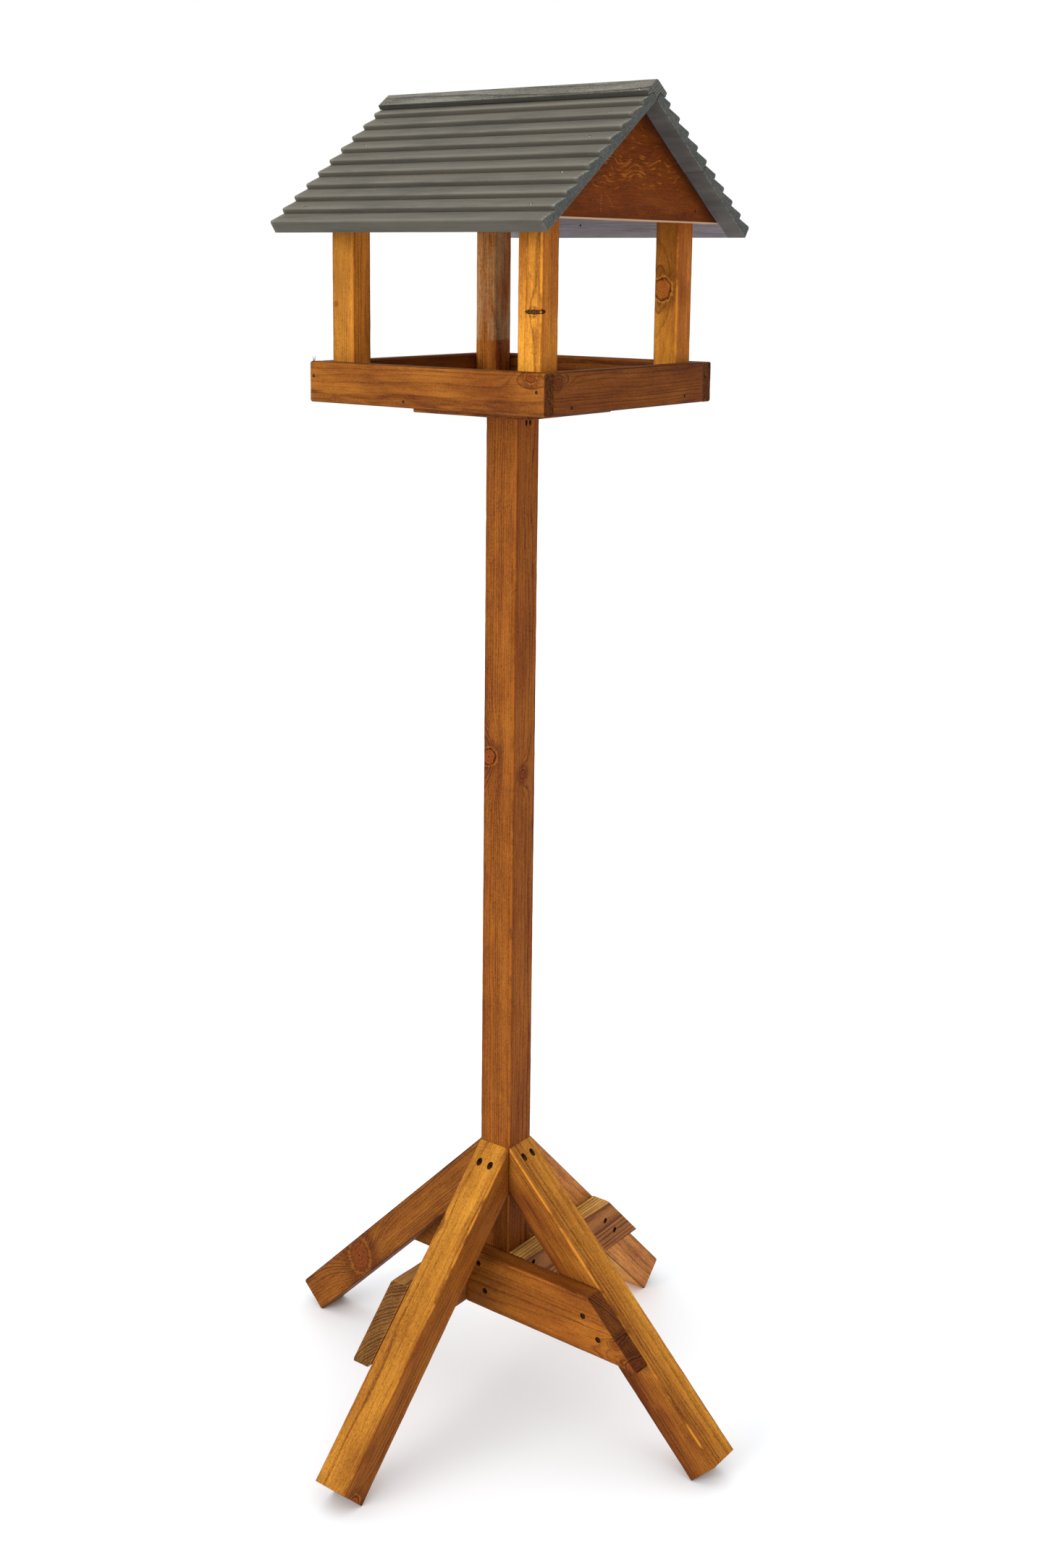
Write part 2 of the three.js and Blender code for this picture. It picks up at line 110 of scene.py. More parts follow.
CAMERA_PLACE = (1.2758, -1.6847, 1.3757)
CAMERA_YAW = math.radians(-37.493)
CAMERA_PITCH = math.radians(-10.536)
CAMERA_ROLL = math.radians(0.51)
LENS_MM, SENSOR_MM = 42.78, 36
CAMERA_SHIFT = (0.015, -0.1124)
SUN_FROM = (-0.22, -0.95, 0.20)
SUN_STRENGTH = 2.7
SUN_WIDTH = math.radians(36)
HORIZON, ZENITH = 0.52, 1.55  # strength of the studio's light, level and overhead
FLOOR_REACH, FLOOR_RINGS, FLOOR_SIDES = 14.0, 24, 96


def put_in_scene(name, data):
    made = bpy.data.objects.new(name, data)
    bpy.context.scene.collection.objects.link(made)
    return made


def axes(x, y, z):
    """The matrix whose columns are three axes."""
    return Matrix((x, y, z)).transposed()


def make_camera():
    data = bpy.data.cameras.new("camera")
    data.sensor_width = SENSOR_MM
    data.lens = LENS_MM
    data.shift_x, data.shift_y = CAMERA_SHIFT
    data.clip_start, data.clip_end = 0.05, 100
    level = math.cos(CAMERA_PITCH)
    forward = Vector((math.sin(CAMERA_YAW) * level, math.cos(CAMERA_YAW) * level, math.sin(CAMERA_PITCH)))
    right = forward.cross(Z_AXIS).normalized()
    turn = axes(right, right.cross(forward), -forward) @ Matrix.Rotation(CAMERA_ROLL, 3, "Z")
    camera = put_in_scene("camera", data)
    camera.matrix_world = Matrix.Translation(CAMERA_PLACE) @ turn.to_4x4()
    bpy.context.scene.camera = camera


def make_light():
    """A broad soft key from the front left, in a white studio that is brighter overhead."""
    data = bpy.data.lights.new("key", "SUN")
    data.energy = SUN_STRENGTH
    data.angle = SUN_WIDTH
    data.color = (1.0, 0.97, 0.93)
    put_in_scene("key", data).rotation_euler = (-Vector(SUN_FROM)).to_track_quat("-Z", "Y").to_euler()

    bpy.context.scene.view_settings.view_transform = "Standard"
    world = bpy.data.worlds.new("studio")
    world.use_nodes = True
    nodes = Nodes(world.node_tree)
    height = nodes.out("ShaderNodeTexCoord", "Generated").split()[2]
    levels = {"Value": height, "To Min": HORIZON, "To Max": ZENITH}
    strength = nodes.out("ShaderNodeMapRange", "Result", levels)
    fill = world.node_tree.nodes["Background"]
    nodes.put(fill.inputs["Color"], (0.94, 0.97, 1.0))
    nodes.put(fill.inputs["Strength"], strength)
    backdrop = nodes.out("ShaderNodeBackground", 0, {"Color": (1, 1, 1)})
    seen = nodes.out("ShaderNodeLightPath", "Is Camera Ray")
    either = nodes.out("ShaderNodeMixShader", 0, {0: seen, 1: Value(nodes, fill.outputs[0]), 2: backdrop})
    nodes.put(world.node_tree.nodes["World Output"].inputs["Surface"], either)
    bpy.context.scene.world = world


def make_floor():
    verts, faces = [(0, 0, 0)], []
    for ring in range(1, FLOOR_RINGS + 1):
        radius = FLOOR_REACH * (ring / FLOOR_RINGS) ** 2
        for side in range(FLOOR_SIDES):
            angle = 2 * math.pi * side / FLOOR_SIDES
            verts.append((radius * math.cos(angle), radius * math.sin(angle), 0))
    for side in range(FLOOR_SIDES):
        after = (side + 1) % FLOOR_SIDES
        faces.append((0, 1 + side, 1 + after))
        for ring in range(1, FLOOR_RINGS):
            inner, outer = 1 + (ring - 1) * FLOOR_SIDES, 1 + ring * FLOOR_SIDES
            faces.append((inner + side, outer + side, outer + after, inner + after))
    mesh = bpy.data.meshes.new("studio_floor")
    mesh.from_pydata(verts, [], faces)
    paper, nodes, shader = new_material("pale_paper")
    looks = {"Base Color": (0.93, 0.93, 0.93), "Roughness": 0.9, "Specular IOR Level": 0.1}
    for socket, value in looks.items():
        nodes.put(shader.inputs[socket], value)
    mesh.materials.append(paper)
    put_in_scene("studio_floor", mesh)


# ---------------------------------------------------------------- shader helpers


class Value:
    """A shader socket to reckon with: the other operand is a value, a number or a tuple."""

    def __init__(self, nodes, socket):
        self.nodes, self.socket = nodes, socket
        self.is_vector = socket.type in ("VECTOR", "RGBA")

    def __add__(self, other):
        return self.nodes.do("ADD", self, other)

    def __sub__(self, other):
        return self.nodes.do("SUBTRACT", self, other)

    def __rsub__(self, other):
        return self.nodes.do("SUBTRACT", other, self)

    def __mul__(self, other):
        return self.nodes.do("MULTIPLY", self, other)

    def __truediv__(self, other):
        return self.nodes.do("DIVIDE", self, other)

    def __abs__(self):
        return self.nodes.do("ABSOLUTE", self)

    __radd__, __rmul__ = __add__, __mul__

    def ramp(self, low, high, to_low=0.0, to_high=1.0):
        """A smooth step from low to high."""
        inputs = {"Value": self, "From Min": low, "From Max": high, "To Min": to_low, "To Max": to_high}
        return self.nodes.out("ShaderNodeMapRange", "Result", inputs, interpolation_type="SMOOTHSTEP")

    def to(self, other, factor):
        """This colour, turned into the other by factor."""
        return self.nodes.mix(factor, self, other)

    def split(self):
        parts = self.nodes.add("ShaderNodeSeparateXYZ", {"Vector": self}).outputs
        return [Value(self.nodes, part) for part in parts]


class Nodes:
    """Adds nodes to a shader tree and joins them up."""

    def __init__(self, tree):
        self.tree = tree

    def put(self, socket, value):
        if isinstance(value, Value):
            self.tree.links.new(value.socket, socket)
        elif socket.type == "RGBA":
            socket.default_value = (*value, 1)
        elif socket.type == "VECTOR" and isinstance(value, (int, float)):
            socket.default_value = (value, value, value)
        else:
            socket.default_value = value

    def add(self, kind, inputs=None, **settings):
        node = self.tree.nodes.new(kind)
        for key, value in settings.items():
            setattr(node, key, value)
        for key, value in (inputs or {}).items():
            self.put(node.inputs[key], value)
        return node

    def out(self, kind, output, inputs=None, **settings):
        """Adds a node and gives one of its outputs."""
        return Value(self, self.add(kind, inputs, **settings).outputs[output])

    def do(self, operation, *values, clamp=False):
        """Arithmetic on numbers, or on vectors where any of the values is one."""
        inputs = dict(enumerate(values))
        if not any(getattr(value, "is_vector", isinstance(value, (tuple, list))) for value in values):
            return self.out("ShaderNodeMath", 0, inputs, operation=operation, use_clamp=clamp)
        output = "Value" if operation in ("LENGTH", "DOT_PRODUCT") else "Vector"
        return self.out("ShaderNodeVectorMath", output, inputs, operation=operation)

    def noise(self, vector, stretch, detail=2.0, roughness=0.5, output="Fac"):
        inputs = {"Vector": vector * stretch, "Scale": 1.0, "Detail": detail, "Roughness": roughness}
        return self.out("ShaderNodeTexNoise", output, inputs)

    def mix(self, factor, first, second):
        return self.out("ShaderNodeMix", 2, {0: factor, 6: first, 7: second}, data_type="RGBA")

    def curve(self, value, stops):
        """A number read off a curve through (position, level) stops."""
        node = self.add("ShaderNodeValToRGB", {"Fac": value})
        elements = node.color_ramp.elements
        while len(elements) < len(stops):
            elements.new(0.5)
        for element, (position, level) in zip(elements, stops):
            element.position = position
            element.color = (level, level, level, 1)
        grey = Value(self, node.outputs["Color"])
        grey.is_vector = False
        return grey

    def join(self, x, y=0.0, z=0.0):
        return self.out("ShaderNodeCombineXYZ", "Vector", {"X": x, "Y": y, "Z": z})

    def group(self, tree, inputs):
        outputs = self.add("ShaderNodeGroup", inputs, node_tree=tree).outputs
        return {output.name: Value(self, output) for output in outputs}

    def place(self):
        """Where a point lies in its timber, in millimetres, with Z along the grain."""
        return self.out("ShaderNodeAttribute", "Vector", attribute_name="grain")


def new_group(name, inputs, outputs):
    """A node group's builder, inputs and output sockets; names are given for each kind."""
    nodes = Nodes(bpy.data.node_groups.new(name, "ShaderNodeTree"))
    for sockets, way in ((inputs, "INPUT"), (outputs, "OUTPUT")):
        for kind, names in sockets.items():
            for socket in names:
                nodes.tree.interface.new_socket(name=socket, in_out=way, socket_type="NodeSocket" + kind)
    given = nodes.add("NodeGroupInput").outputs
    source = {socket.name: Value(nodes, socket) for socket in given if socket.name}
    return nodes, source, nodes.add("NodeGroupOutput").inputs


def new_material(name):
    material = bpy.data.materials.new(name)
    material.use_nodes = True
    return material, Nodes(material.node_tree), material.node_tree.nodes["Principled BSDF"]


make_camera()
make_light()
make_floor()

# ---------------------------------------------------------------- wood


def make_knot_group():
    """How far the rings bulge round a knot, the distance from it in radii, and its radial rays."""
    nodes, source, sink = new_group("knot", {"Vector": ("Centre", "Direction"), "Float": ("Radius", "Swirl")},
                                    {"Float": ("Bulge", "Distance", "Rays")})
    place = nodes.place()
    radius = source["Radius"]
    away = place - source["Centre"]
    across = away - source["Direction"] * nodes.do("DOT_PRODUCT", away, source["Direction"])
    ragged = (nodes.noise(place, 0.22) - 0.5) * radius
    distance = (ragged * 0.6 + nodes.do("LENGTH", across)) / radius
    # the rings part further along the grain than across it
    share = nodes.do("LENGTH", across * (1.0, 1.0, 0.42)) / (radius * 1.75)
    nodes.put(sink["Bulge"], nodes.do("EXPONENT", share * share * -1.0) * source["Swirl"])
    nodes.put(sink["Distance"], distance)
    rays = nodes.noise(nodes.do("NORMALIZE", across), 8.8)
    nodes.put(sink["Rays"], rays.ramp(0.5, 0.62) * distance.ramp(2.3, 1.1))
    return nodes.tree


def make_wood_group():
    """Stained softwood: yearly rings about a pith, fibres, streaks, worn arrises with a painted highlight and
    a painted dark outline, and knots.
    """
    nodes, source, sink = new_group(
        "stained_timber",
        {
            "Vector": ("Pith", "Seed", "Half", "Tilt", "High Faces", "Low Faces", "Deepen"),
            "Float": ("Spacing", "Wander", "Contrast", "Blotch", "Weather", "Weather Start", "Bulge", "Knot",
                      "Rays", "Sawn", "Bark", "Rub And Highlight", "Texture"),
            "Color": ("Light", "Dark", "Heart"),
        },
        {"Color": ("Color",), "Float": ("Roughness", "Height")},
    )
    place = nodes.place()
    seeded = place + source["Seed"]
    x, y, z = place.split()
    light, dark, heart = source["Light"], source["Dark"], source["Heart"]

    def noise_of(stretch, detail=2.0, roughness=0.5, output="Fac"):
        return nodes.noise(seeded, stretch, detail, roughness, output)

    # rings: the distance from the pith, pushed about by slow and quick noise and by knots
    wander = (noise_of((0.016, 0.016, 0.0032), output="Color") - 0.5) * source["Wander"]
    jitter = (noise_of((0.11, 0.11, 0.011), output="Color") - 0.5) * 2.4
    from_pith = (place + wander - source["Pith"] + jitter) * (1, 1, 0)
    radius = nodes.do("LENGTH", from_pith) - source["Bulge"]
    ring = nodes.noise(nodes.join(radius), 0.13, 1.0) * 1.6 + radius / source["Spacing"]
    latewood = nodes.curve(nodes.do("FRACT", ring),
                           [(0.0, 0.5), (0.06, 0.02), (0.5, 0.10), (0.74, 0.40), (0.93, 1.0), (1.0, 0.5)])
    year = nodes.noise(nodes.join(nodes.do("FLOOR", ring)), 7.3, 0.0)
    latewood = latewood * year.ramp(0.3, 0.65, 0.25, 1.0)

    # how dark the stain has taken: rings, fibres, fine speckle and long streaks
    fibre = noise_of((0.85, 0.85, 0.03), 4.0, 0.7)
    speckle = noise_of((0.62, 0.62, 0.40), 3.0, 0.75)
    ripples = noise_of((0.10, 0.10, 0.75), 1.0)
    streak = noise_of((0.085, 0.085, 0.0035))
    blotch = noise_of((0.03, 0.03, 0.011), 3.0, 0.6)
    distance = source["Knot"]
    depth = latewood * (source["Contrast"] + distance.ramp(3.6, 1.3, 0.0, 0.4))
    for value, amount in ((fibre, 2.4), (speckle, 2.4), (ripples, 0.3), (streak, 1.2)):
        depth = (value - 0.5) * amount * source["Texture"] + depth
    depth = nodes.do("ADD", source["Rays"] * 0.55 + depth, 0.22, clamp=True)
    colour = nodes.mix(depth, light, dark)

    # tone: slow blotches, a drift along the timber, and faces that are paler or darker; the drift and face
    # tones, set per timber, are partly painted light and shade
    tone = (blotch - 0.5) * source["Blotch"] + 1.0 + nodes.do("DOT_PRODUCT", place, source["Tilt"])
    share = place / source["Half"]
    square = share * share
    seventh = square * square * (square * share)
    for pick, faces in (("MAXIMUM", "High Faces"), ("MINIMUM", "Low Faces")):
        side = abs(nodes.do(pick, seventh, (0, 0, 0)))
        tone = tone + nodes.do("DOT_PRODUCT", side, source[faces])
    tone = nodes.do("MAXIMUM", tone, 0.2)
    _, green, blue = source["Deepen"].split()
    colour = colour * nodes.join(tone, nodes.do("POWER", tone, green), nodes.do("POWER", tone, blue))

    # short resin and plane marks along the grain
    dashes = noise_of((1.1, 1.1, 0.075), 1.0)
    dark_dash = dashes.ramp(0.70, 0.78)
    colour = colour.to(heart, dark_dash * 0.6)
    colour = colour.to(light * 1.5, dashes.ramp(0.29, 0.22) * 0.5)

    # knots: a dark bark line round redder end grain, then a pale rim and a darker halo
    inside = distance.ramp(1.0, 0.92)
    bark = distance.ramp(0.84, 0.98) * distance.ramp(1.22, 1.04)
    hoops = nodes.do("SINE", distance * 24.0)
    heart_ring = nodes.mix(hoops.ramp(-0.9, 1.0, 0.25, 0.75), light, dark)
    heart_ring = heart_ring.to(heart, distance.ramp(0.12, 0.03))
    colour = colour.to(heart_ring * (0.94, 0.68, 0.72), inside * 0.85)
    colour = colour.to(heart * 0.6, bark * source["Bark"])
    rim = distance.ramp(1.04, 1.13) * distance.ramp(1.32, 1.2)
    colour = colour.to(light * 1.1, rim * 0.45)
    halo = distance.ramp(2.6, 1.5) * distance.ramp(1.2, 1.5)
    colour = colour.to(dark, halo * 0.55)

    # arrises: rubbed pale with a painted highlight, with stain gathered beside them, and a painted dark
    # outline where they turn away from the view
    span_x, span_y, _ = source["Half"].split()
    aside = nodes.do("MAXIMUM", span_x - abs(x), span_y - abs(y))
    chafe = noise_of((0.06, 0.06, 0.028), 3.0, 0.65)
    rub_and_highlight_mask = aside.ramp(2.6, 1.2) * chafe.ramp(0.42, 0.56)
    colour = colour.to(light * 1.3, rub_and_highlight_mask * source["Rub And Highlight"])
    beside = aside.ramp(2.2, 3.0) * aside.ramp(5.2, 3.4) * chafe.ramp(0.60, 0.40)
    colour = colour.to(dark, beside * 0.45)
    # painted dark outline: arrises darken as their faces turn away from the view
    facing = nodes.out("ShaderNodeLayerWeight", "Facing", {"Blend": 0.5})
    colour = colour.to(heart * 0.6, aside.ramp(2.4, 1.2) * facing.ramp(0.34, 0.60) * 0.8)

    # painted warm light: faces that look along the ridge towards +X are tinted redder, as under a warm light
    # from that side
    outlook = nodes.out("ShaderNodeNewGeometry", "Normal").split()[0]
    colour = colour.to(colour * (1.0, 0.86, 0.92), outlook.ramp(0.2, 0.9))

    # weathered patches, greyer and paler
    patch = noise_of((0.045, 0.045, 0.012), 3.0, 0.6)
    edge = z + (chafe - 0.5) * 9.0 - source["Weather Start"]
    faded = patch.ramp(0.38, 0.62) * source["Weather"] * edge.ramp(-1.5, 1.5)
    colour = colour.to(nodes.mix(depth, (0.42, 0.225, 0.092), (0.140, 0.069, 0.030)), faded)

    # saw marks on cut ends
    fuzz = noise_of((0.70, 0.30, 0.70), 4.0, 0.75)
    torn = fuzz.ramp(0.50, 0.36) * source["Sawn"]
    colour = colour.to(heart, torn * 0.7)
    colour = colour.to(light * 1.3, fuzz.ramp(0.56, 0.68) * source["Sawn"] * 0.6)

    height = latewood * 0.55
    for value, amount in ((fibre, 0.9), (speckle, 0.5), (ripples, 0.25), (bark, -0.9), (dark_dash, -0.6),
                          (source["Rays"], -0.3), (inside, 0.35), (torn, -1.2)):
        height = value * amount + height
    nodes.put(sink["Color"], colour)
    nodes.put(sink["Roughness"], latewood * -0.08 + (fibre * 0.2 + 0.52))
    nodes.put(sink["Height"], height)
    return nodes.tree


KNOT_GROUP = make_knot_group()
WOOD_GROUP = make_wood_group()

STAINS = {
    # how the stain looks where it has taken well
    "golden": (0.415, 0.168, 0.0165),
    "amber": (0.300, 0.112, 0.0120),
    "brown": (0.190, 0.056, 0.0060),
    "umber": (0.190, 0.078, 0.0180),
    "russet": (0.150, 0.036, 0.0042),
    "slate": (0.104, 0.096, 0.076),
}
SHADES = {"Light": (1.48, 1.58, 1.60), "Dark": (0.44, 0.34, 0.38), "Heart": (0.22, 0.15, 0.18)}
FAR = 1e3  # a half width that no point comes near, so it has no arrises
SEED_STEPS = (37.1, 53.7, 211.3)


def finish_surface(nodes, shader, colour, roughness, height, relief, specular=0.06, strength=1.0):
    """Joins colour, roughness and height to the material's shader; relief is in millimetres."""
    inputs = {"Height": height, "Strength": strength, "Distance": relief * MM}
    bump = nodes.out("ShaderNodeBump", "Normal", inputs)
    for socket, value in (("Base Color", colour), ("Roughness", roughness), ("Normal", bump),
                          ("Specular IOR Level", specular)):
        nodes.put(shader.inputs[socket], value)


def wood_surface(name, grain, stain, seed, pith, spacing=2.6, wander=9.0, contrast=0.8, blotch=1.0,
                 weather=0.0, weather_start=-1e4, tilt=(0, 0, 0), half=(FAR, FAR), knots=(), gain=1.0,
                 sawn=0.0, high=(0, 0), low=(0, 0), bark=0.85, rub_and_highlight=0.55, texture=1.0,
                 deepen=(1.4, 1.3), relief=0.14, specular=0.06):
    """A timber's own material, its builder, shader and colour. Knots are (place, direction,
    radius, swirl) in the row frame. Tilt is the gain in tone per millimetre along the timber's
    own axes; high and low are the extra tone of the faces that look along its +X and +Y, and
    its -X and -Y; deepen is how much faster than red its green and blue follow the tone."""
    material, nodes, shader = new_material(name)
    to_grain = grain.inverted()
    bulge, nearest, rays = 0.0, 9.0, 0.0
    for centre, direction, radius, swirl in knots:
        knot = nodes.group(KNOT_GROUP, {
            "Centre": to_grain @ Vector(centre),
            "Direction": (to_grain.to_3x3() @ Vector(direction)).normalized(),
            "Radius": radius, "Swirl": swirl,
        })
        bulge = knot["Bulge"] + bulge
        nearest = nodes.do("MINIMUM", knot["Distance"], nearest)
        rays = nodes.do("MAXIMUM", knot["Rays"], rays)
    outputs = nodes.group(WOOD_GROUP, {
        "Pith": (*pith, 0.0), "Seed": [seed * step for step in SEED_STEPS], "Half": (*half, 0.0),
        "Tilt": tilt, "Spacing": spacing, "Wander": wander, "Contrast": contrast, "Blotch": blotch,
        "Weather": weather, "Weather Start": weather_start, "Bulge": bulge, "Knot": nearest, "Rays": rays,
        "Sawn": sawn,
        "High Faces": (*high, 0.0), "Low Faces": (*low, 0.0), "Bark": bark, "Rub And Highlight": rub_and_highlight, "Texture": texture,
        "Deepen": (1.0, *deepen),
        **{key: [a * b * gain for a, b in zip(STAINS[stain], shade)] for key, shade in SHADES.items()},
    })
    finish_surface(nodes, shader, outputs["Color"], outputs["Roughness"], outputs["Height"], relief, specular)
    return material, nodes, shader, outputs["Color"]


def wood_material(*args, **look):
    return wood_surface(*args, **look)[0]


# ---------------------------------------------------------------- mesh helpers

SECTION_EDGE = 0.4  # how far a flat's first and last rows lie from its arrises
ROUNDING_TURNS = [math.radians(degrees) for degrees in (0, 30, 60)]
CAP_RING_SHARES = (0.93, 0.8, 0.62, 0.42, 0.2)


def ripple(point, size, seed):
    """Smooth noise from -1 to 1 that changes over about size millimetres."""
    return noise.noise(Vector(point) / size + Vector((seed * 3.7, seed * 1.9, seed * 5.3)))


def rectangle_section(width, depth, radius, step=5.0, arc_steps=6):
    """A rounded rectangle as (x, y, normal x, normal y, share of arris) rows, anticlockwise."""
    rows = []
    for index, (side_x, side_y) in enumerate(((1, 1), (-1, 1), (-1, -1), (1, -1))):
        centre = Vector((side_x * (width / 2 - radius), side_y * (depth / 2 - radius)))
        for k in range(arc_steps + 1):
            turn = math.pi / 2 * (index + k / arc_steps)
            normal = Vector((math.cos(turn), math.sin(turn)))
            rows.append((*(centre + radius * normal), *normal, math.sin(math.pi * k / arc_steps)))
        span = (depth if index % 2 else width) - 2 * radius
        turn = math.pi / 2 * (index + 2)
        run = Vector((math.cos(turn), math.sin(turn)))
        count = max(1, round(span / step))
        start, normal = Vector(rows[-1][:2]), rows[-1][2:4]
        for stop in (SECTION_EDGE, *(span * k / count for k in range(1, count)), span - SECTION_EDGE):
            rows.append((*(start + run * stop), *normal, 0.0))
    return rows


def outline_section(points):
    """Rows as above for any closed outline, given anticlockwise, with mitred normals."""
    rows = []
    for k, point in enumerate(points):
        here = Vector(point)
        first = (here - Vector(points[k - 1])).normalized()
        second = (Vector(points[(k + 1) % len(points)]) - here).normalized()
        normal = Vector((first.y + second.y, -first.x - second.x)).normalized()
        normal /= max(0.5, normal.dot(Vector((first.y, -first.x))))
        rows.append((*here, *normal, 0.0))
    return rows


def smooth(piece, sharp=35):
    mesh = piece.data
    mesh.polygons.foreach_set("use_smooth", [True] * len(mesh.polygons))
    mesh.set_sharp_from_angle(angle=math.radians(sharp))


def set_grain(piece, grain):
    mesh = piece.data
    to_grain = grain.inverted()
    attribute = mesh.attributes.get("grain") or mesh.attributes.new("grain", "FLOAT_VECTOR", "POINT")
    values = [value for v in mesh.vertices for value in to_grain @ (v.co / MM)]
    attribute.data.foreach_set("vector", values)


def mesh_object(name, solid, materials, place, grain=None, indices=None, sharp=40):
    """Makes a piece from (vertices, faces) in millimetres in the frame place, with its grain."""
    verts, faces = solid
    mesh = bpy.data.meshes.new(name)
    mesh.from_pydata([place @ Vector(v) * MM for v in verts], [], faces)
    for material in materials:
        mesh.materials.append(material)
    mesh.polygons.foreach_set("material_index", indices or [0] * len(faces))
    piece = put_in_scene(name, mesh)
    smooth(piece, sharp)
    set_grain(piece, place if grain is None else grain)
    return piece


def sweep(name, section, low, high, place, grain, materials, seed=1.0, step=7.0, edge=0.7,
          wear=1.0, ragged=0.0, caps="rings"):
    """Draws a section out along Z between two cut planes, each (height, slope in x, slope in y).
    Arrises are worn, faces are a little uneven, and ends are rounded over by edge. The first
    material is for the sides and the second, where there is one, for the ends."""
    verts, faces, indices = [], [], []
    count = len(section)
    neighbours = [(k, (k + 1) % count) for k in range(count)]

    def cut(plane, x, y):
        return plane[0] + plane[1] * x + plane[2] * y

    def worn(x, y, z, arris):
        sink = 0.05 * (1 + ripple((x, y, z), 26, seed))
        if arris:
            along = (round(x), round(y), z)
            sink += arris * wear * (0.28 + 0.26 * ripple(along, 17, seed + 2))
            sink += arris * wear * 1.6 * max(0.0, ripple(along, 6, seed + 5) - 0.42)
        return max(0.0, sink)

    def cap(start, plane, upper):
        outline = verts[start:start + count]

        def close(face):
            faces.append(face if upper else face[::-1])
            indices.append(min(1, len(materials) - 1))

        if caps == "face":
            return close(list(range(start, start + count)))
        middle_x, middle_y = (sum(v[axis] for v in outline) / count for axis in (0, 1))
        inwards = -1 if upper else 1
        for share in CAP_RING_SHARES:
            here = len(verts)
            for x, y, _ in outline:
                x, y = middle_x + (x - middle_x) * share, middle_y + (y - middle_y) * share
                sink = (0.10 + 0.25 * ragged) * (1 + ripple((x, y * 3, seed), 4.0, seed + 11))
                verts.append((x, y, cut(plane, x, y) + inwards * sink))
            for k, after in neighbours:
                close((start + k, start + after, here + after, here + k))
            start = here
        verts.append((middle_x, middle_y, cut(plane, middle_x, middle_y) + inwards * 0.1))
        for k, after in neighbours:
            close((start + k, start + after, len(verts) - 1))

    # each ring is (how far it is drawn in, its share of the way up, its shift along Z)
    stations = max(2, round((high[0] - low[0]) / step))
    rounding = [(edge * (1 - math.sin(turn)), 0, edge * (1 - math.cos(turn))) for turn in ROUNDING_TURNS]
    rings = rounding + [(0.0, k / stations, edge * (1 - 2 * k / stations)) for k in range(stations + 1)]
    rings += [(inset, 1, -shift) for inset, _, shift in reversed(rounding)]
    for inset, share, shift in rings:
        for x, y, nx, ny, arris in section:
            bottom, top = cut(low, x, y), cut(high, x, y)
            z = bottom + (top - bottom) * share + shift
            if inset:
                rough = 1 + (0.5 + 0.5 * ragged) * ripple((x * 2.2, y * 2.2, seed), 3.5, seed + 9)
            inward = (inset * rough if inset else 0.0) + worn(x, y, z, arris)
            verts.append((x - nx * inward, y - ny * inward, z))
    for base in range(0, (len(rings) - 1) * count, count):
        for k, after in neighbours:
            faces.append((base + k, base + after, base + count + after, base + count + k))
            indices.append(0)
    cap(0, low, False)
    cap((len(rings) - 1) * count, high, True)
    return mesh_object(name, (verts, faces), materials, place, grain, indices, sharp=35)


def lathe(profile, sides):
    """A closed solid turned about Z from (radius, z) rows that start and end on the axis."""
    verts, faces = [(0, 0, profile[0][1])], []
    for radius, z in profile[1:-1]:
        for side in range(sides):
            turn = 2 * math.pi * side / sides
            verts.append((radius * math.cos(turn), radius * math.sin(turn), z))
    verts.append((0, 0, profile[-1][1]))
    top = 1 + (len(profile) - 3) * sides
    for side in range(sides):
        after = (side + 1) % sides
        faces.append((0, 1 + after, 1 + side))
        for base in range(1, top, sides):
            faces.append((base + side, base + after, base + sides + after, base + sides + side))
        faces.append((top + side, top + after, len(verts) - 1))
    return verts, faces


def driven(head, direction):
    """The frame of a fastener whose head's middle is at head and which is driven in direction."""
    turn = (-Vector(direction)).to_track_quat("Z", "Y").to_matrix().to_4x4()
    return Matrix.Translation(Vector(head)) @ turn


def combine(parts):
    """One vertex and face list from several (vertices, faces, matrix) parts."""
    verts, faces = [], []
    for part_verts, part_faces, matrix in parts:
        start = len(verts)
        verts.extend(tuple(matrix @ Vector(v)) for v in part_verts)
        faces.extend([start + k for k in face] for face in part_faces)
    return verts, faces


def cut_away(piece, parts, material, grain):
    """Takes closed solids, given as (vertices, faces, matrix) in millimetres, out of a piece."""
    if not parts:
        return
    verts, faces = combine(parts)
    mesh = bpy.data.meshes.new("cutter")
    mesh.from_pydata([Vector(v) * MM for v in verts], [], faces)
    mesh.materials.append(material)
    cutter = put_in_scene("cutter", mesh)
    modifier = piece.modifiers.new("cut", "BOOLEAN")
    modifier.operation = "DIFFERENCE"
    modifier.object = cutter
    modifier.solver = "MANIFOLD"
    modifier.material_mode = "TRANSFER"
    graph = bpy.context.evaluated_depsgraph_get()
    result = bpy.data.meshes.new_from_object(piece.evaluated_get(graph), depsgraph=graph)
    piece.modifiers.remove(modifier)
    old = piece.data
    piece.data = result
    bpy.data.meshes.remove(old)
    result.name = piece.name
    bpy.data.objects.remove(cutter)
    work = bmesh.new()
    work.from_mesh(result)
    bmesh.ops.dissolve_degenerate(work, dist=SLIVER * MM, edges=work.edges)
    work.to_mesh(result)
    work.free()
    smooth(piece)
    set_grain(piece, grain)


def settle(piece, slot, *nodes):
    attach(piece, "root")
    if nodes:
        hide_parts(*nodes)


# ---------------------------------------------------------------- fasteners

HOLES = {}  # what to cut out of each timber, by its name
RECESS_ROOT, RECESS_MOUTH = (1.2, 0.3), (2.1, 0.55)  # an arm's half length and half width
RECESS_FLOORS = (-1.7, -1.6)
HOLE_MOUTH = 14.0  # how far a hole's cutter stands out past the head


def note_hole(solid, place, *pieces):
    for piece in pieces:
        HOLES.setdefault(piece, []).append((*solid, place))


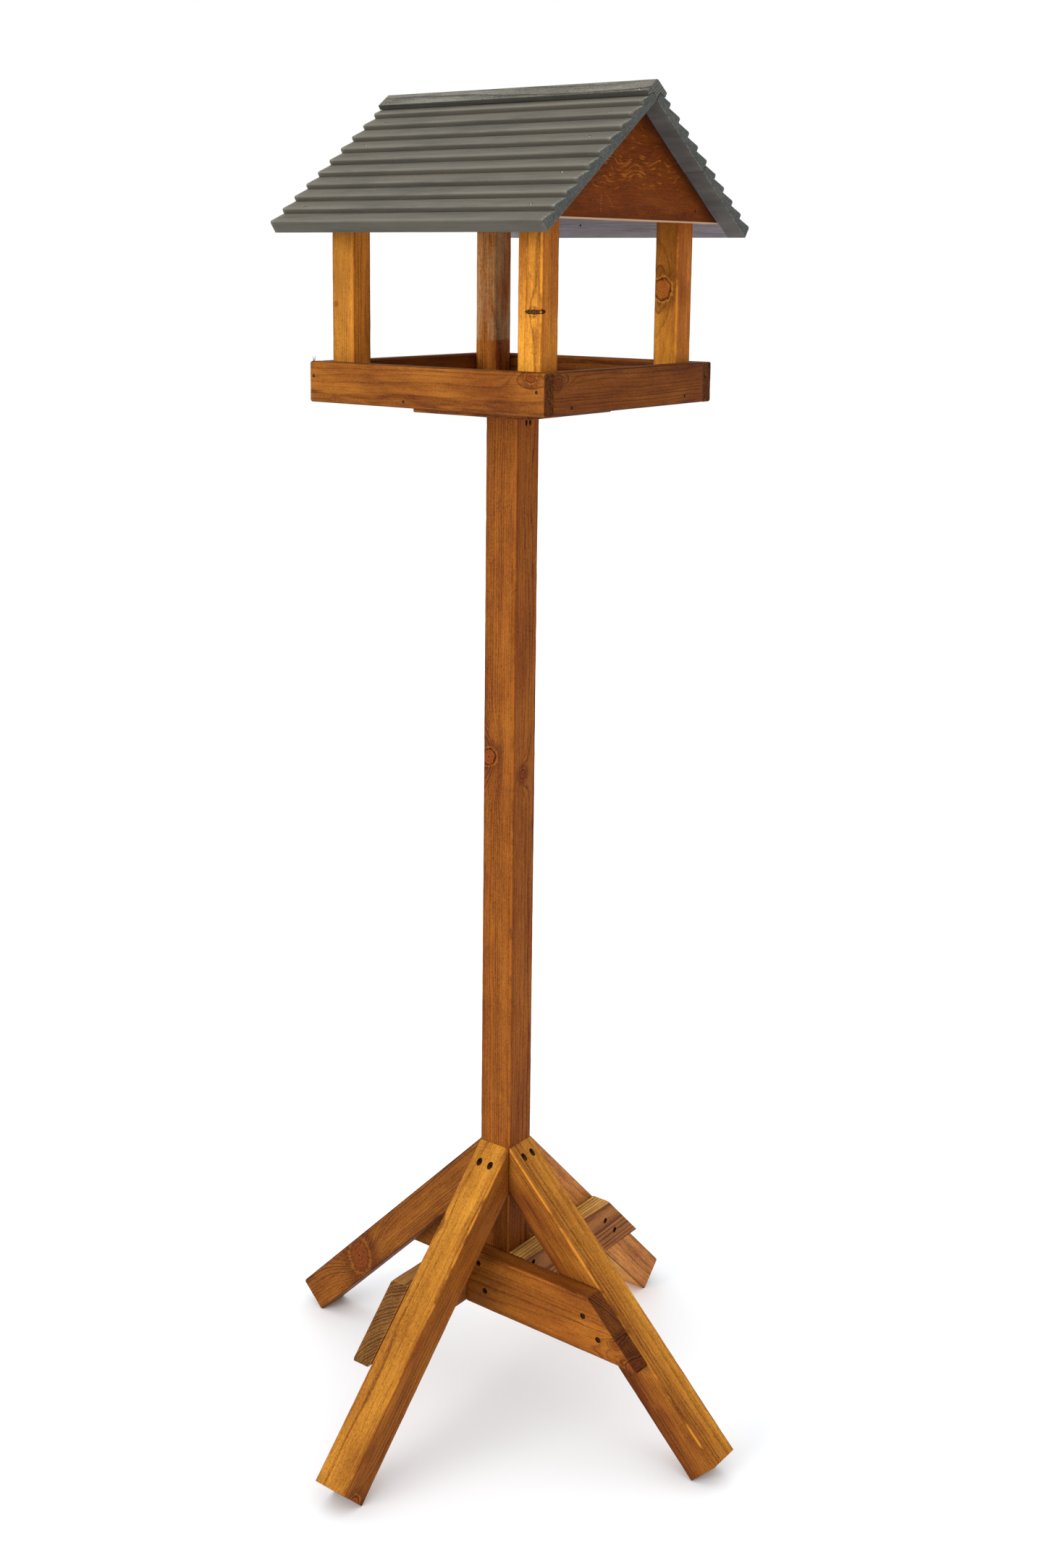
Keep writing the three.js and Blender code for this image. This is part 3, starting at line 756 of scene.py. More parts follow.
def hole_solid(length, head, shank, head_depth, point, mouth=HOLE_MOUTH, sides=32):
    return lathe([
        (0, -length - GAP), (shank + GAP, point - length - GAP), (shank + GAP, -head_depth - GAP),
        (head + GAP, -0.3 - GAP), (head + GAP, mouth), (0, mouth),
    ], sides)


def screw_solid(length):
    return lathe([
        (0, -length), (SCREW_SHANK * 0.4, 2 - length), (SCREW_SHANK, SCREW_POINT - length),
        (SCREW_SHANK, -SCREW_CONE), (SCREW_HEAD - 0.15, -0.45), (SCREW_HEAD, -0.25),
        (SCREW_HEAD - 0.1, -0.05), (SCREW_HEAD * 0.8, 0), (SCREW_HEAD * 0.4, 0), (0, 0),
    ], 32)


def nail_solid(length, head, shank, point, edge, sides):
    """A nail with a small flat head; edge is the head's edge as (inset, depth) rows."""
    rows = [(head - inset, -depth) for inset, depth in edge]
    shaft = [(0, -length), (shank, point - length), (shank, -0.6)]
    return lathe([*shaft, *rows, (head * 0.5, 0), (0, 0)], sides)


SKEW_NAIL = nail_solid(NAIL_LENGTH, NAIL_HEAD, NAIL_SHANK, 3, ((0.15, 0.5), (0, 0.3), (0.2, 0.05)), 24)
PIN = nail_solid(PIN_LENGTH, PIN_HEAD, PIN_SHANK, 2, ((0.1, 0.45), (0, 0.3), (0.15, 0.06)), 16)


def recess_solid(turn, floor):
    """One arm of a cross recess, narrower at its foot."""
    verts = []
    for z, (long, wide) in ((floor, RECESS_ROOT), (0.6, RECESS_MOUTH)):
        verts.extend([(-long, -wide, z), (long, -wide, z), (long, wide, z), (-long, wide, z)])
    faces = [(3, 2, 1, 0), (4, 5, 6, 7), (0, 1, 5, 4), (1, 2, 6, 5), (2, 3, 7, 6), (3, 0, 4, 7)]
    return verts, faces, Matrix.Rotation(turn, 4, "Z")


def steel_material():
    material, nodes, shader = new_material("dull_zinc")
    place = nodes.place()
    mottle = nodes.noise(place, 0.9, 3.0, 0.6)
    grime_and_shade = nodes.noise(place, 0.45)
    colour = nodes.mix(mottle.ramp(0.42, 0.66), (0.06, 0.045, 0.025), (0.50, 0.38, 0.20))
    # grime and painted shade: most of each head is near-black, as the dirt and shade in a sunk screw hole,
    # with pale gold metal between
    colour = colour.to((0.030, 0.014, 0.006), grime_and_shade.ramp(0.40, 0.48))
    finish_surface(nodes, shader, colour, mottle * 0.3 + 0.40, mottle, 0.1, specular=0.1, strength=0.6)
    nodes.put(shader.inputs["Metallic"], grime_and_shade.ramp(0.40, 0.48, 0.9, 0.0))
    return material


STEEL = steel_material()


def fastener(name, solid, place, slot_turn=None):
    """Makes a screw or nail; slot_turn is how far its cross recess is turned."""
    piece = mesh_object(name, solid, [STEEL], place)
    if slot_turn is not None:
        for arm, floor in enumerate(RECESS_FLOORS):
            *solid, turn = recess_solid(slot_turn + math.pi / 2 * arm, floor)
            cut_away(piece, [(*solid, place @ turn)], STEEL, place)
    return piece


def drive_screw(node, direction, slot_turn, *owners):
    """Makes the screw of a CAD node that lies along an axis, and the holes it needs."""
    low, high = box_mm(node)
    length = abs((high - low).dot(direction))
    place = driven((low + high) / 2 - direction * length / 2, direction)
    settle(fastener(node + "_steel", screw_solid(length), place, slot_turn), "fixings", node)
    note_hole(hole_solid(length, SCREW_HEAD, SCREW_SHANK, SCREW_CONE, SCREW_POINT), place, *owners)


def drive_pins(name, slot, material, places, *owners, depth=0.7):
    """Small nails set a little below the surface, each (head, direction), as one piece."""
    parts = []
    hole = hole_solid(PIN_LENGTH, PIN_HEAD + 0.2, PIN_SHANK, 0.5, 2, mouth=2.5, sides=20)
    for head, direction in places:
        way = Vector(direction).normalized()
        place = driven(Vector(head) + way * depth, way)
        parts.append((*PIN, place))
        note_hole(hole, place, *owners)
    settle(mesh_object(name, combine(parts), [material], SAME), slot)


def make_screws():
    for index, side in enumerate(SIDES):
        leg, brace = "leg_" + side, "brace_" + side
        for stem, direction, owners in (("leg_screw", -X_AXIS, (leg, "pole")),
                                        ("brace_leg_screw", Y_AXIS, (brace, leg)),
                                        ("brace_pole_screw", Y_AXIS, (brace, "pole"))):
            for number in (1, 2):
                way = QUARTER[side].to_3x3() @ direction
                drive_screw(f"{stem}_{side}_{number}", way, 0.4 + index * 0.9 + number * 1.7, *owners)
    for side in ("left", "right"):
        for end in ("front", "back"):
            drive_screw(f"plate_screw_{end}_{side}", Z_AXIS, 0.7, "mounting_plate", "tray_floor")
    for side, sign in (("left", -1), ("right", 1)):
        for number, y in ((1, -NAIL_SPREAD), (2, NAIL_SPREAD)):
            node = f"skew_nail_{side}_{number}"
            way = Vector((-sign * 0.5, 0, math.sqrt(0.75)))
            head = Vector((sign * HALF_POST, sign * y, PLATE_LOW.z - NAIL_DROP)) + way * NAIL_SINK
            place = driven(head, way)
            settle(fastener(node + "_steel", SKEW_NAIL, place), "fixings", node)
            hole = hole_solid(NAIL_LENGTH, NAIL_HEAD, NAIL_SHANK, 0.6, 3)
            note_hole(hole, place, "mounting_plate", "tray_floor", "pole")


def make_pins():
    """The small nails of the rims and gables."""
    def drive(board, outwards, heads):
        axis = Y_AXIS if board in ("rim_front", "rim_back") else X_AXIS
        drive_pins(board + "_nails", "fixings", STEEL, [(head, axis * -outwards) for head in heads], board)

    for side, outwards in (("front", -1), ("back", 1)):
        spots = ((RIM_MIDDLE - 1, 25.3), (-RIM_MIDDLE - 3, 29.0), (outwards * 25, 6.6))
        drive("rim_" + side, outwards, [(x, outwards * HALF_TRAY, TRAY_BOTTOM + z) for x, z in spots])
    for side, outwards in (("left", -1), ("right", 1)):
        spots = ((-112, 7.5), (106, 9))
        drive("rim_" + side, outwards, [(outwards * HALF_TRAY, y, TRAY_BOTTOM + z) for y, z in spots])
        face = box_mm("gable_" + side)[1 if outwards > 0 else 0].x
        drive("gable_" + side, outwards, [(face, y, GABLE_BOTTOM + 13) for y in (-126, 118)])


def make_bark_slit():
    """A narrow slot round the near upright's arris, where bark has dropped out of a branch scar."""
    near = RIM_INSIDE - GAP
    height = TRAY_BOTTOM + 105.2
    radius, steps = 2.5, 16
    for middle, half_long, axis in (((near - 9.5, -near, height), 11.5, "Y"),
                                    ((near, -near + 2.0, height + 0.4), 5.5, "X")):
        profile = [(0, -half_long)]
        for k in range(1, steps):
            z = -half_long * math.cos(math.pi * k / steps)
            bumpy = 1 + 0.35 * ripple((z, 0, 0), 4.0, 3)
            profile.append((radius * math.sqrt(1 - (z / half_long) ** 2) * bumpy, z))
        profile.append((0, half_long))
        place = Matrix.Translation(middle) @ Matrix.Rotation(math.pi / 2, 4, axis)
        note_hole(lathe(profile, 24), place, "upright_front_right")


make_screws()
make_pins()
make_bark_slit()

# ---------------------------------------------------------------- timbers

# Dark wood for torn grain and the walls of cut holes; in the holes its darkness is painted shade.
RAW_WOOD_AND_HOLE_SHADE = wood_material("raw_wood_and_hole_shade", SAME, "umber", 3, (60, 40), gain=0.3)


def timber(name, size, low, high, place, look, end_gain=0.62, arris=ARRIS, section_step=5.0, torn=0.3,
           **shape):
    """A stained timber of a width and depth that stands for the CAD node of the same name."""
    look = {**look, "half": (size[0] / 2, size[1] / 2)}
    end_look = {**look, "gain": look.get("gain", 1.0) * end_gain, "contrast": 1.5, "sawn": torn,
                "relief": 0.35, "high": (0, 0), "low": (0, 0)}
    side = wood_material(name + "_side", place, **look)
    end = wood_material(name + "_end", place, **end_look)
    piece = sweep(name + "_timber", rectangle_section(*size, arris, section_step), low, high, place, place,
                  [side, end], seed=look["seed"], **shape)
    cut_away(piece, HOLES.get(name, []), RAW_WOOD_AND_HOLE_SHADE, place)
    settle(piece, "stained_pine", name)


def make_stand():
    look = dict(stain="brown", seed=1, pith=(-40, 26), spacing=2.2, wander=7, blotch=0.8, rub_and_highlight=0.7,
                tilt=(0.0042, 0.0034, 0.00006), high=(-0.05, 0), low=(0, -0.08), texture=0.75, bark=1.0,
                knots=[((-13.5, -22, 807.7), (0.35, -0.85, 0.35), 9.0, 11.0),
                       ((22, -3.1, 788.7), (1, 0.1, 0.3), 5.5, 6.0)])
    pole_place = Matrix.Translation((0, 0, POLE_LOW.z))
    timber("pole", (POST, POST), (0, 0, 0), (POLE_HIGH.z - POLE_LOW.z, 0, 0), pole_place, look)

    leg_looks = {
        "right": dict(stain="amber", seed=2, pith=(34, 20), spacing=3.0, tilt=(-0.010, 0.014, 0), rub_and_highlight=0.9,
                      gain=0.93, contrast=0.7, low=(0, -0.17),
                      knots=[((212, -22, 66), (0.1, -1, 0.1), 2.4, 4.0)]),
        "back": dict(stain="umber", seed=3, pith=(-30, 44), gain=2.05, contrast=0.5),
        "left": dict(stain="brown", seed=4, pith=(-60, 70), spacing=3.0, gain=0.76, bark=0.3,
                     knots=[((-219.2, -22, 102.4), (0.0, -0.72, 0.69), 15.5, 20.0)]),
        "front": dict(stain="amber", seed=5, pith=(48, -26), spacing=4.2, gain=0.96, contrast=0.75, rub_and_highlight=0.9,
                      high=(0, -0.24), knots=[((-23.3, -100.8, 249.3), (0.2, -0.7, 0.7), 4.5, 6.0),
                                              ((22, -303, 11), (1, 0, 0), 9.0, 8.0)]),
    }
    brace_looks = {
        "right": dict(stain="brown", seed=6, pith=(-20, 52), spacing=3.2, contrast=0.5, high=(-0.2, 0),
                      knots=[((197, -47.3, 149.5), (0.1, -1, 0), 4.0, 8.0),
                             ((219, -47.3, 129.0), (0, -1, 0.2), 7.5, 12.0),
                             ((218, -47.3, 130.0), (0, -1, 0.2), 4.0, 2.0)]),
        "back": dict(stain="umber", seed=7, pith=(15, 60), spacing=4.0, gain=1.5, contrast=1.5,
                     high=(0.6, 0)),
        "left": dict(stain="brown", seed=8, pith=(70, -20), spacing=3.0),
        "front": dict(stain="umber", seed=9, pith=(-50, -30), spacing=3.0, gain=1.1),
    }
    shift = Matrix.Translation
    lean = Matrix.Rotation(math.pi * 3 / 4, 4, "Y")
    leg_place = shift((HALF_POST, 0, LEG_TOP)) @ lean @ shift((HALF_POST, 0, 0))
    leg_low = (HALF_POST + GAP * math.sqrt(2), 1.0, 0.0)
    spot = (-HALF_POST, -HALF_POST - GAP - BRACE_THICKNESS / 2, BRACE_BOTTOM + BRACE_WIDTH / 2)
    brace_place = shift(spot) @ axes(Z_AXIS, -Y_AXIS, X_AXIS).to_4x4()
    brace_high = (LEG_TOP - BRACE_BOTTOM + POST - BRACE_WIDTH / 2, -1.0, 0.0)
    for side in SIDES:
        timber("leg_" + side, (POST, POST), leg_low, (LEG_LENGTH - FOOT_CLEAR, 0, 0),
               QUARTER[side] @ leg_place, {"texture": 0.75, **leg_looks[side]})
        timber("brace_" + side, (BRACE_WIDTH, BRACE_THICKNESS), (0, 0, 0), brace_high,
               QUARTER[side] @ brace_place, {"texture": 0.6, **brace_looks[side]})


def along(axis, centre):
    """A frame at a point with Z along the X or the Y axis, and Y up."""
    turn = axes(Y_AXIS, Z_AXIS, X_AXIS) if axis == "X" else axes(-X_AXIS, Z_AXIS, Y_AXIS)
    return Matrix.Translation(centre) @ turn.to_4x4()


def make_tray():
    for name, low, high, look, shape in (
        ("mounting_plate", PLATE_LOW, PLATE_HIGH, dict(seed=11, pith=(30, 50), spacing=3.4), dict(arris=1.5)),
        ("tray_floor", FLOOR_LOW, FLOOR_HIGH, dict(seed=12, pith=(-40, 90), spacing=4.0, wander=16, gain=0.8),
         dict(arris=1.0, section_step=7.0)),
    ):
        size = high - low
        timber(name, (size.y, size.z), (-size.x / 2, 0, 0), (size.x / 2, 0, 0), along("X", (low + high) / 2),
               {"stain": "brown", **look}, **shape)

    height = TRAY_BOTTOM + RIM_HEIGHT / 2
    half_side = RIM_INSIDE - GAP
    looks = {
        "front": dict(seed=13, pith=(70, -18), blotch=1.6, gain=0.87, bark=0.5,
                      knots=[((144, -161, 1260.7), (0, -1, 0.2), 6.0, 10.0)]),
        "back": dict(seed=14, pith=(60, 30), gain=0.9, low=(-0.15, 0)),
        "left": dict(seed=15, pith=(-60, 12), spacing=2.8, gain=0.9),
        "right": dict(seed=16, pith=(-52, 40), spacing=3.0, blotch=1.4, gain=0.73, bark=0.5,
                      knots=[((161, -137.5, 1254.5), (1, 0, 0.1), 5.0, 14.0)]),
    }
    for name, axis, half, centre, ragged in (
        ("front", "X", HALF_TRAY, (0, -RIM_MIDDLE, height), 1.0),
        ("back", "X", HALF_TRAY, (0, RIM_MIDDLE, height), 1.0),
        ("left", "Y", half_side, (-RIM_MIDDLE, 0, height), 0.2),
        ("right", "Y", half_side, (RIM_MIDDLE, 0, height), 0.2),
    ):
        timber("rim_" + name, (RIM_THICKNESS, RIM_HEIGHT), (-half, 0, 0), (half, 0, 0), along(axis, centre),
               {"stain": "brown", "texture": 0.5, **looks[name]}, ragged=ragged, torn=1.0)


def make_splinters():
    """Three dark hairs of torn grain that stand up at the front rim's left end."""
    parts = []
    thick, steps = 0.32, 6
    for x, y, lean_x, lean_y, length in ((-4.5, 3.0, 0.55, -0.2, 7.0), (-3.0, 2.2, -0.35, 0.1, 6.0),
                                         (-2.2, 4.0, 0.1, 0.3, 4.5)):
        taper = [(thick * (1 - k / steps) + 0.04, length * k / steps) for k in range(steps)]
        verts, faces = lathe([(0, -0.8), (thick, -0.6), *taper, (0, length)], 8)
        bent = []
        for vx, vy, vz in verts:
            bend = (vz / length) ** 2 * length * 0.5
            bent.append((vx + lean_x * bend, vy + lean_y * bend, vz))
        root = (-HALF_TRAY - x, -HALF_TRAY + y, TRAY_BOTTOM + RIM_HEIGHT)
        parts.append((bent, faces, Matrix.Translation(root)))
    settle(mesh_object("rim_front_splinters", combine(parts), [RAW_WOOD_AND_HOLE_SHADE], SAME, sharp=60), "stained_pine")


def make_uprights():
    # The negative Z tilts darken the uprights towards their tops, painted shade under the roof, and the front
    # left's high=(0.85, 0) paints light onto its +X face, which looks into the tray.
    looks = {
        ("front", "right"): dict(stain="golden", seed=21, pith=(18, 40), gain=1.12, high=(-0.12, 0),
                                 tilt=(0, 0, -0.0015), contrast=0.6, bark=0.0,
                                 knots=[((133.5, -143.7, 1325.0), (0.1, -1, 0), 3.2, 3.0)]),
        ("front", "left"): dict(stain="amber", seed=22, pith=(44, 12), spacing=2.2, high=(0.85, 0),
                                contrast=0.6, tilt=(0, 0, -0.0006), deepen=(1.0, 1.0),
                                knots=[((-137.5, -143.7, 1327.8), (0, -1, 0.1), 1.6, 2.0)]),
        ("back", "right"): dict(stain="amber", seed=23, pith=(-20, 55), spacing=3.0, gain=1.45,
                                high=(-0.1, 0), tilt=(0, 0, -0.0016), contrast=0.4,
                                knots=[((123.5, 112.7, 1346.1), (0.1, -1, 0.25), 11.5, 8.0),
                                       ((123.0, 112.7, 1343.0), (0.1, -1, 0.25), 5.0, 3.0)]),
        ("back", "left"): dict(stain="brown", seed=24, pith=(-50, -14), spacing=2.2, weather=0.85, gain=1.4,
                               weather_start=TRAY_BOTTOM + 62 - UPRIGHT_FOOT, tilt=(-0.008, -0.004, 0),
                               texture=0.9),
    }
    fall = math.tan(ROOF_ANGLE)
    top = RIDGE - UPRIGHT_FOOT - GAP / COS_ROOF - fall * UPRIGHT_CENTRE
    for (end, side), look in looks.items():
        outwards = -1 if end == "front" else 1
        x = -UPRIGHT_CENTRE if side == "left" else UPRIGHT_CENTRE
        place = Matrix.Translation((x, outwards * UPRIGHT_CENTRE, UPRIGHT_FOOT))
        timber(f"upright_{end}_{side}", (UPRIGHT, UPRIGHT), (0, 0, 0), (top, 0.0, -outwards * fall), place,
               {"texture": 0.5, **look})


make_stand()
make_tray()
make_splinters()
make_uprights()

# ---------------------------------------------------------------- gables


def scratch(height, across, start, end, width):
    """A dotted mask along a straight line from start to end, each (across, height)."""
    lean = (end[0] - start[0]) / (end[1] - start[1])
    aside = abs(across - ((height - start[1]) * lean + start[0]))
    mask = aside.ramp(width, width * 0.3) * height.ramp(end[1], end[1] + 2)
    dots = height.nodes.do("SINE", height * 2.4)
    return mask * height.ramp(start[1], start[1] - 2) * dots.ramp(-0.1, 0.5)


def gable_material(name, grain, seed, rise):
    """Dark varnished board: curved ray flecks, painted shade along the sloping top edges under the roof,
    darker towards the bottom edge, a pale strip along the lower edge, scratches.
    """
    material, nodes, shader, colour = wood_surface(
        name, grain, "russet", seed, (40, 120), spacing=7.0, wander=24.0, contrast=0.2, blotch=1.1,
        gain=0.80, texture=0.7, specular=0.04)
    place = nodes.place()
    height, _, across = place.split()

    slow = nodes.noise(place, 0.018, 1.0)
    wavy = nodes.noise(place, 0.05)
    line = slow * 42.0 + (wavy * 9.0 + height)
    flecks = nodes.noise(nodes.join(line * 0.46, across * 0.060, seed * 3.1), 1.0)
    band = height.ramp(30, 48) * height.ramp(72, 56) * across.ramp(-80, -50)
    level = height.ramp(22, 40) * height.ramp(112, 90)
    bold = (band * 0.085 + flecks).ramp(0.668, 0.70) * level
    colour = colour.to((0.42, 0.120, 0.010), bold * 0.62)
    thin = (band * 0.05 + flecks).ramp(0.58, 0.64) * level
    colour = colour.to((0.26, 0.075, 0.010), thin * 0.3)
    colour = colour.to((0.060, 0.014, 0.003), flecks.ramp(0.40, 0.30) * 0.4)

    # painted shade along the sloping top edges, where the roof overhangs the board
    inset = (wavy - 0.5) * 16.0 + (abs(across) * -math.tan(ROOF_ANGLE) + (rise - height))
    colour = colour.to((0.042, 0.010, 0.003), inset.ramp(24, 1, 0.0, 0.72))
    colour = colour.to((0.055, 0.013, 0.004), height.ramp(10, 1, 0.0, 0.45))
    marks = nodes.do("ADD", scratch(height, across, (-65, 26), (-66, 7), 0.6),
                     scratch(height, across, (-61, 31), (-42, 12), 0.9) * 0.6, clamp=True)
    colour = colour.to((0.42, 0.20, 0.07), marks * 0.7)
    colour = colour.to((0.56, 0.34, 0.20), height.ramp(1.9, 1.1, 0.0, 0.9))
    nodes.put(shader.inputs["Base Color"], colour)
    return material


def make_gables():
    height = RIDGE - GABLE_BOTTOM - 2 * GAP
    half = height / math.tan(ROOF_ANGLE)
    corners = [Vector((-half, 0)), Vector((half, 0)), Vector((0, height))]
    steps = 24
    points = [tuple(corner.lerp(corners[(k + 1) % 3], j / steps))
              for k, corner in enumerate(corners) for j in range(steps)]
    for side, sign, x in (("right", 1, RIM_INSIDE), ("left", -1, -HALF_TRAY + GAP)):
        lie = Matrix.Translation((x, 0, GABLE_BOTTOM))
        grain = lie @ axes(Z_AXIS, X_AXIS, Y_AXIS).to_4x4()
        name = "gable_" + side
        face = gable_material(name + "_face", grain, 36 + sign, height)
        piece = sweep(name + "_board", outline_section(points), (0, 0, 0), (RIM_THICKNESS - GAP, 0, 0),
                      lie @ axes(Y_AXIS, Z_AXIS, X_AXIS).to_4x4(), grain, [face],
                      seed=30 + sign, edge=1.2, wear=0.0, caps="face")
        cut_away(piece, HOLES[name], RAW_WOOD_AND_HOLE_SHADE, grain)
        settle(piece, "gable_board", name)


make_gables()

# ---------------------------------------------------------------- roof

PAINT = (0.112, 0.103, 0.084)
PAINT_END = (0.096, 0.098, 0.090)
PAINT_UNDER = (0.112, 0.104, 0.092)
PRIMER = (0.140, 0.128, 0.140)
CAP_PLACE = Matrix.Translation((0, 0, RIDGE)) @ axes(Y_AXIS, Z_AXIS, X_AXIS).to_4x4()
NAIL_THROUGH = 209.4  # down the back slope, where a roof nail comes through


def scaled(colour, factor):
    return tuple(part * factor for part in colour)


def paint_base(name, base, seed, grain_show=1.1, mottle=0.9):
    """Thin paint that lets the grain through, as the values that each kind of surface adds to."""
    material, nodes, shader = new_material(name)
    place = nodes.place()
    seeded = place + (seed * 31.0, seed * 17.0, seed * 143.0)
    brush = nodes.noise(seeded, (0.45, 0.45, 0.010), 4.0, 0.6)
    cloud = nodes.noise(seeded, (0.035, 0.035, 0.008), 3.0, 0.6)
    fibre = nodes.noise(seeded, (1.5, 1.5, 0.028), 4.0, 0.62)
    speckle = nodes.noise(seeded, (0.9, 0.9, 0.6), 2.0, 0.6)
    tone = 1.0
    for value, amount in ((brush, 0.9), (cloud, mottle), (fibre, grain_show), (speckle, 0.6)):
        tone = (value - 0.5) * amount + tone
    thin = cloud.ramp(0.46, 0.66) * fibre.ramp(0.42, 0.60)
    return SimpleNamespace(
        material=material, nodes=nodes, shader=shader, place=place, cloud=cloud,
        colour=(tone * base).to((0.120, 0.092, 0.062), thin * 0.5),
        height=speckle * 0.4 + (fibre * 0.8 + brush * 0.6), roughness=brush * 0.2 + 0.55,
    )


def finish_paint(paint, relief):
    finish_surface(paint.nodes, paint.shader, paint.colour, paint.roughness, paint.height, relief)
    return paint.material


def chipped(paint, seed, size=0.05):
    """The paint's colour with scattered small pale chips where it has come off."""
    where = (paint.place + (seed * 9.0, 0, seed * 21.0)) * (1, 1, 0.75)
    cells = paint.nodes.add("ShaderNodeTexVoronoi", {"Vector": where, "Scale": 0.022})
    pick, distance = (Value(paint.nodes, cells.outputs[name]) for name in ("Color", "Distance"))
    few = pick.split()[0].ramp(0.62, 0.64)
    return paint.colour.to((0.62, 0.60, 0.50), distance.ramp(size, size * 0.5) * few)


def lap_material(name, seed):
    """Slate paint on the lapped face: paler on each crest, partly worn and partly a painted highlight, and
    painted shadow below each nose.
    """
    paint = paint_base(name, PAINT, seed)
    down, _, ridge = paint.place.split()
    phase = paint.nodes.do("FRACT", down / LAP_PITCH)
    # each crest is paler: worn paint and a painted highlight along the nose
    crest = phase.ramp(0.66, 0.88) * paint.cloud.ramp(0.35, 0.60, 0.35, 1.0)
    paint.colour = paint.colour.to((0.165, 0.158, 0.130), crest * 0.30)
    torn = paint.nodes.noise(paint.place, (0.25, 0.25, 0.35), 3.0, 0.7).ramp(0.44, 0.58)
    torn = torn * abs(ridge).ramp(HALF_ROOF - 7, HALF_ROOF - 1)
    paint.colour = paint.colour.to((0.23, 0.23, 0.175), torn * 0.6)
    # painted shadow on each nose's drop and in the step just below it
    nose_shadow = phase.ramp(0.13, 0.02, 0.0, 0.80) + phase.ramp(0.95, 0.995, 0.0, 0.55)
    paint.colour = paint.colour.to((0.034, 0.032, 0.027), nose_shadow)
    paint.colour = chipped(paint, seed)
    return finish_paint(paint, 0.10)


def end_material(name, base, seed, ribs=0.0):
    """Rough sawn end grain under paint; ribs is the pitch of pale saw marks, if it has them."""
    paint = paint_base(name, base, seed, mottle=0.8)
    fuzz = paint.nodes.noise(paint.place, (0.30, 0.75, 0.6), 4.0, 0.75)
    paint.colour = paint.colour.to(scaled(base, 1.9), fuzz.ramp(0.52, 0.68, 0.0, 0.7))
    paint.colour = paint.colour.to(scaled(base, 0.35), fuzz.ramp(0.46, 0.34, 0.0, 0.8))
    paint.height = fuzz * 2.2 + paint.height
    if ribs:
        across, up, _ = paint.place.split()
        layer = across * -SIN_ROOF + up * COS_ROOF
        marks = paint.nodes.do("SINE", layer * (2 * math.pi / ribs))
        paint.colour = paint.colour.to((0.23, 0.22, 0.17), marks.ramp(0.2, 0.8, 0.0, 0.7))
        paint.height = marks * 0.8 + paint.height
    return finish_paint(paint, 0.55)


def under_material(name, base, seed):
    """Lavender grey primer on the underside, with open grain, painted light making it brighter down each
    board towards the eave, and roof paint beyond the gables."""
    paint = paint_base(name, base, seed, grain_show=1.5)
    lines = paint.nodes.noise(paint.place, (0.5, 0.5, 0.012), 3.0, 0.6)
    colour = paint.colour.to(scaled(base, 0.4), lines.ramp(0.44, 0.36, 0.0, 0.6))
    down, _, ridge = paint.place.split()
    # painted light and shade: darker at each board's upper edge, up under the roof, and brighter down towards
    # the eave
    colour = colour * down.ramp(20.0, 95.0, 0.95, 1.7)
    outside = abs(ridge).ramp(HALF_TRAY - 1, HALF_TRAY + 1, 0.0, 0.85)
    paint.colour = colour.to(paint.cloud.ramp(0.3, 0.7, 0.75, 1.35) * PAINT_UNDER, outside)
    return finish_paint(paint, 0.15)


def bow(first, corner, second, share):
    """A point on the curve that leaves first towards corner and ends at second."""
    return [a * (1 - share) ** 2 + b * 2 * share * (1 - share) + c * share ** 2
            for a, b, c in zip(first, corner, second)]


def lap_outline():
    """A board's outline as (down the slope, out): the flat underside, then the laps from the eave."""
    points = [(BOARD_WIDTH * k / 12, 0.0) for k in range(12)]
    lap_slope = LAP_RISE / LAP_PITCH
    crest = LAP_BASE + LAP_RISE
    for lap in range(LAPS_PER_BOARD, 0, -1):
        nose, start = lap * LAP_PITCH, (lap - 1) * LAP_PITCH
        if lap == LAPS_PER_BOARD:
            points.extend([(nose, 0.0), (nose, 4.0), (nose, 8.0)])
        else:
            points.append((nose, LAP_BASE))
        first, second = (nose, crest - LAP_NOSE), (nose - LAP_NOSE, crest - lap_slope * LAP_NOSE)
        points.extend(bow(first, (nose, crest), second, k / 8) for k in range(9))
        for k in (0.75, 0.5, 0.25):
            run = (LAP_PITCH - LAP_NOSE) * k
            points.append((start + run, LAP_BASE + lap_slope * run))
        points.append((start + 0.35, LAP_BASE + 0.1) if lap > 1 else (start, LAP_BASE))
    return points


def make_slopes(end):
    section = outline_section(lap_outline())
    for side, outwards in (("back", 1), ("front", -1)):
        down = Vector((0, outwards * COS_ROOF, -SIN_ROOF))
        out = Vector((0, outwards * SIN_ROOF, COS_ROOF))
        slope = Matrix.Translation((0, 0, RIDGE)) @ axes(down, out, down.cross(out)).to_4x4()
        for part, start, dim in (("upper", UPPER_START, 0.8), ("lower", LOWER_START, 1.0)):
            place = slope @ Matrix.Translation((start, 0, 0))
            name = f"roof_{side}_{part}"
            seed = 40 + len(name) + outwards
            materials = [lap_material(name + "_laps", seed), end,
                         under_material(name + "_underside", scaled(PRIMER, dim), seed)]
            piece = sweep(name + "_board", section, (-HALF_ROOF, 0, 0), (HALF_ROOF, 0, 0), place, place,
                          materials, seed=seed, edge=0.6, wear=0.0, caps="face")
            for polygon in piece.data.polygons:
                if polygon.material_index == 0 and polygon.normal.dot(out) < -0.9:
                    polygon.material_index = 2
            cut_away(piece, HOLES.get(name, []), RAW_WOOD_AND_HOLE_SHADE, place)
            settle(piece, "painted_roof", name)


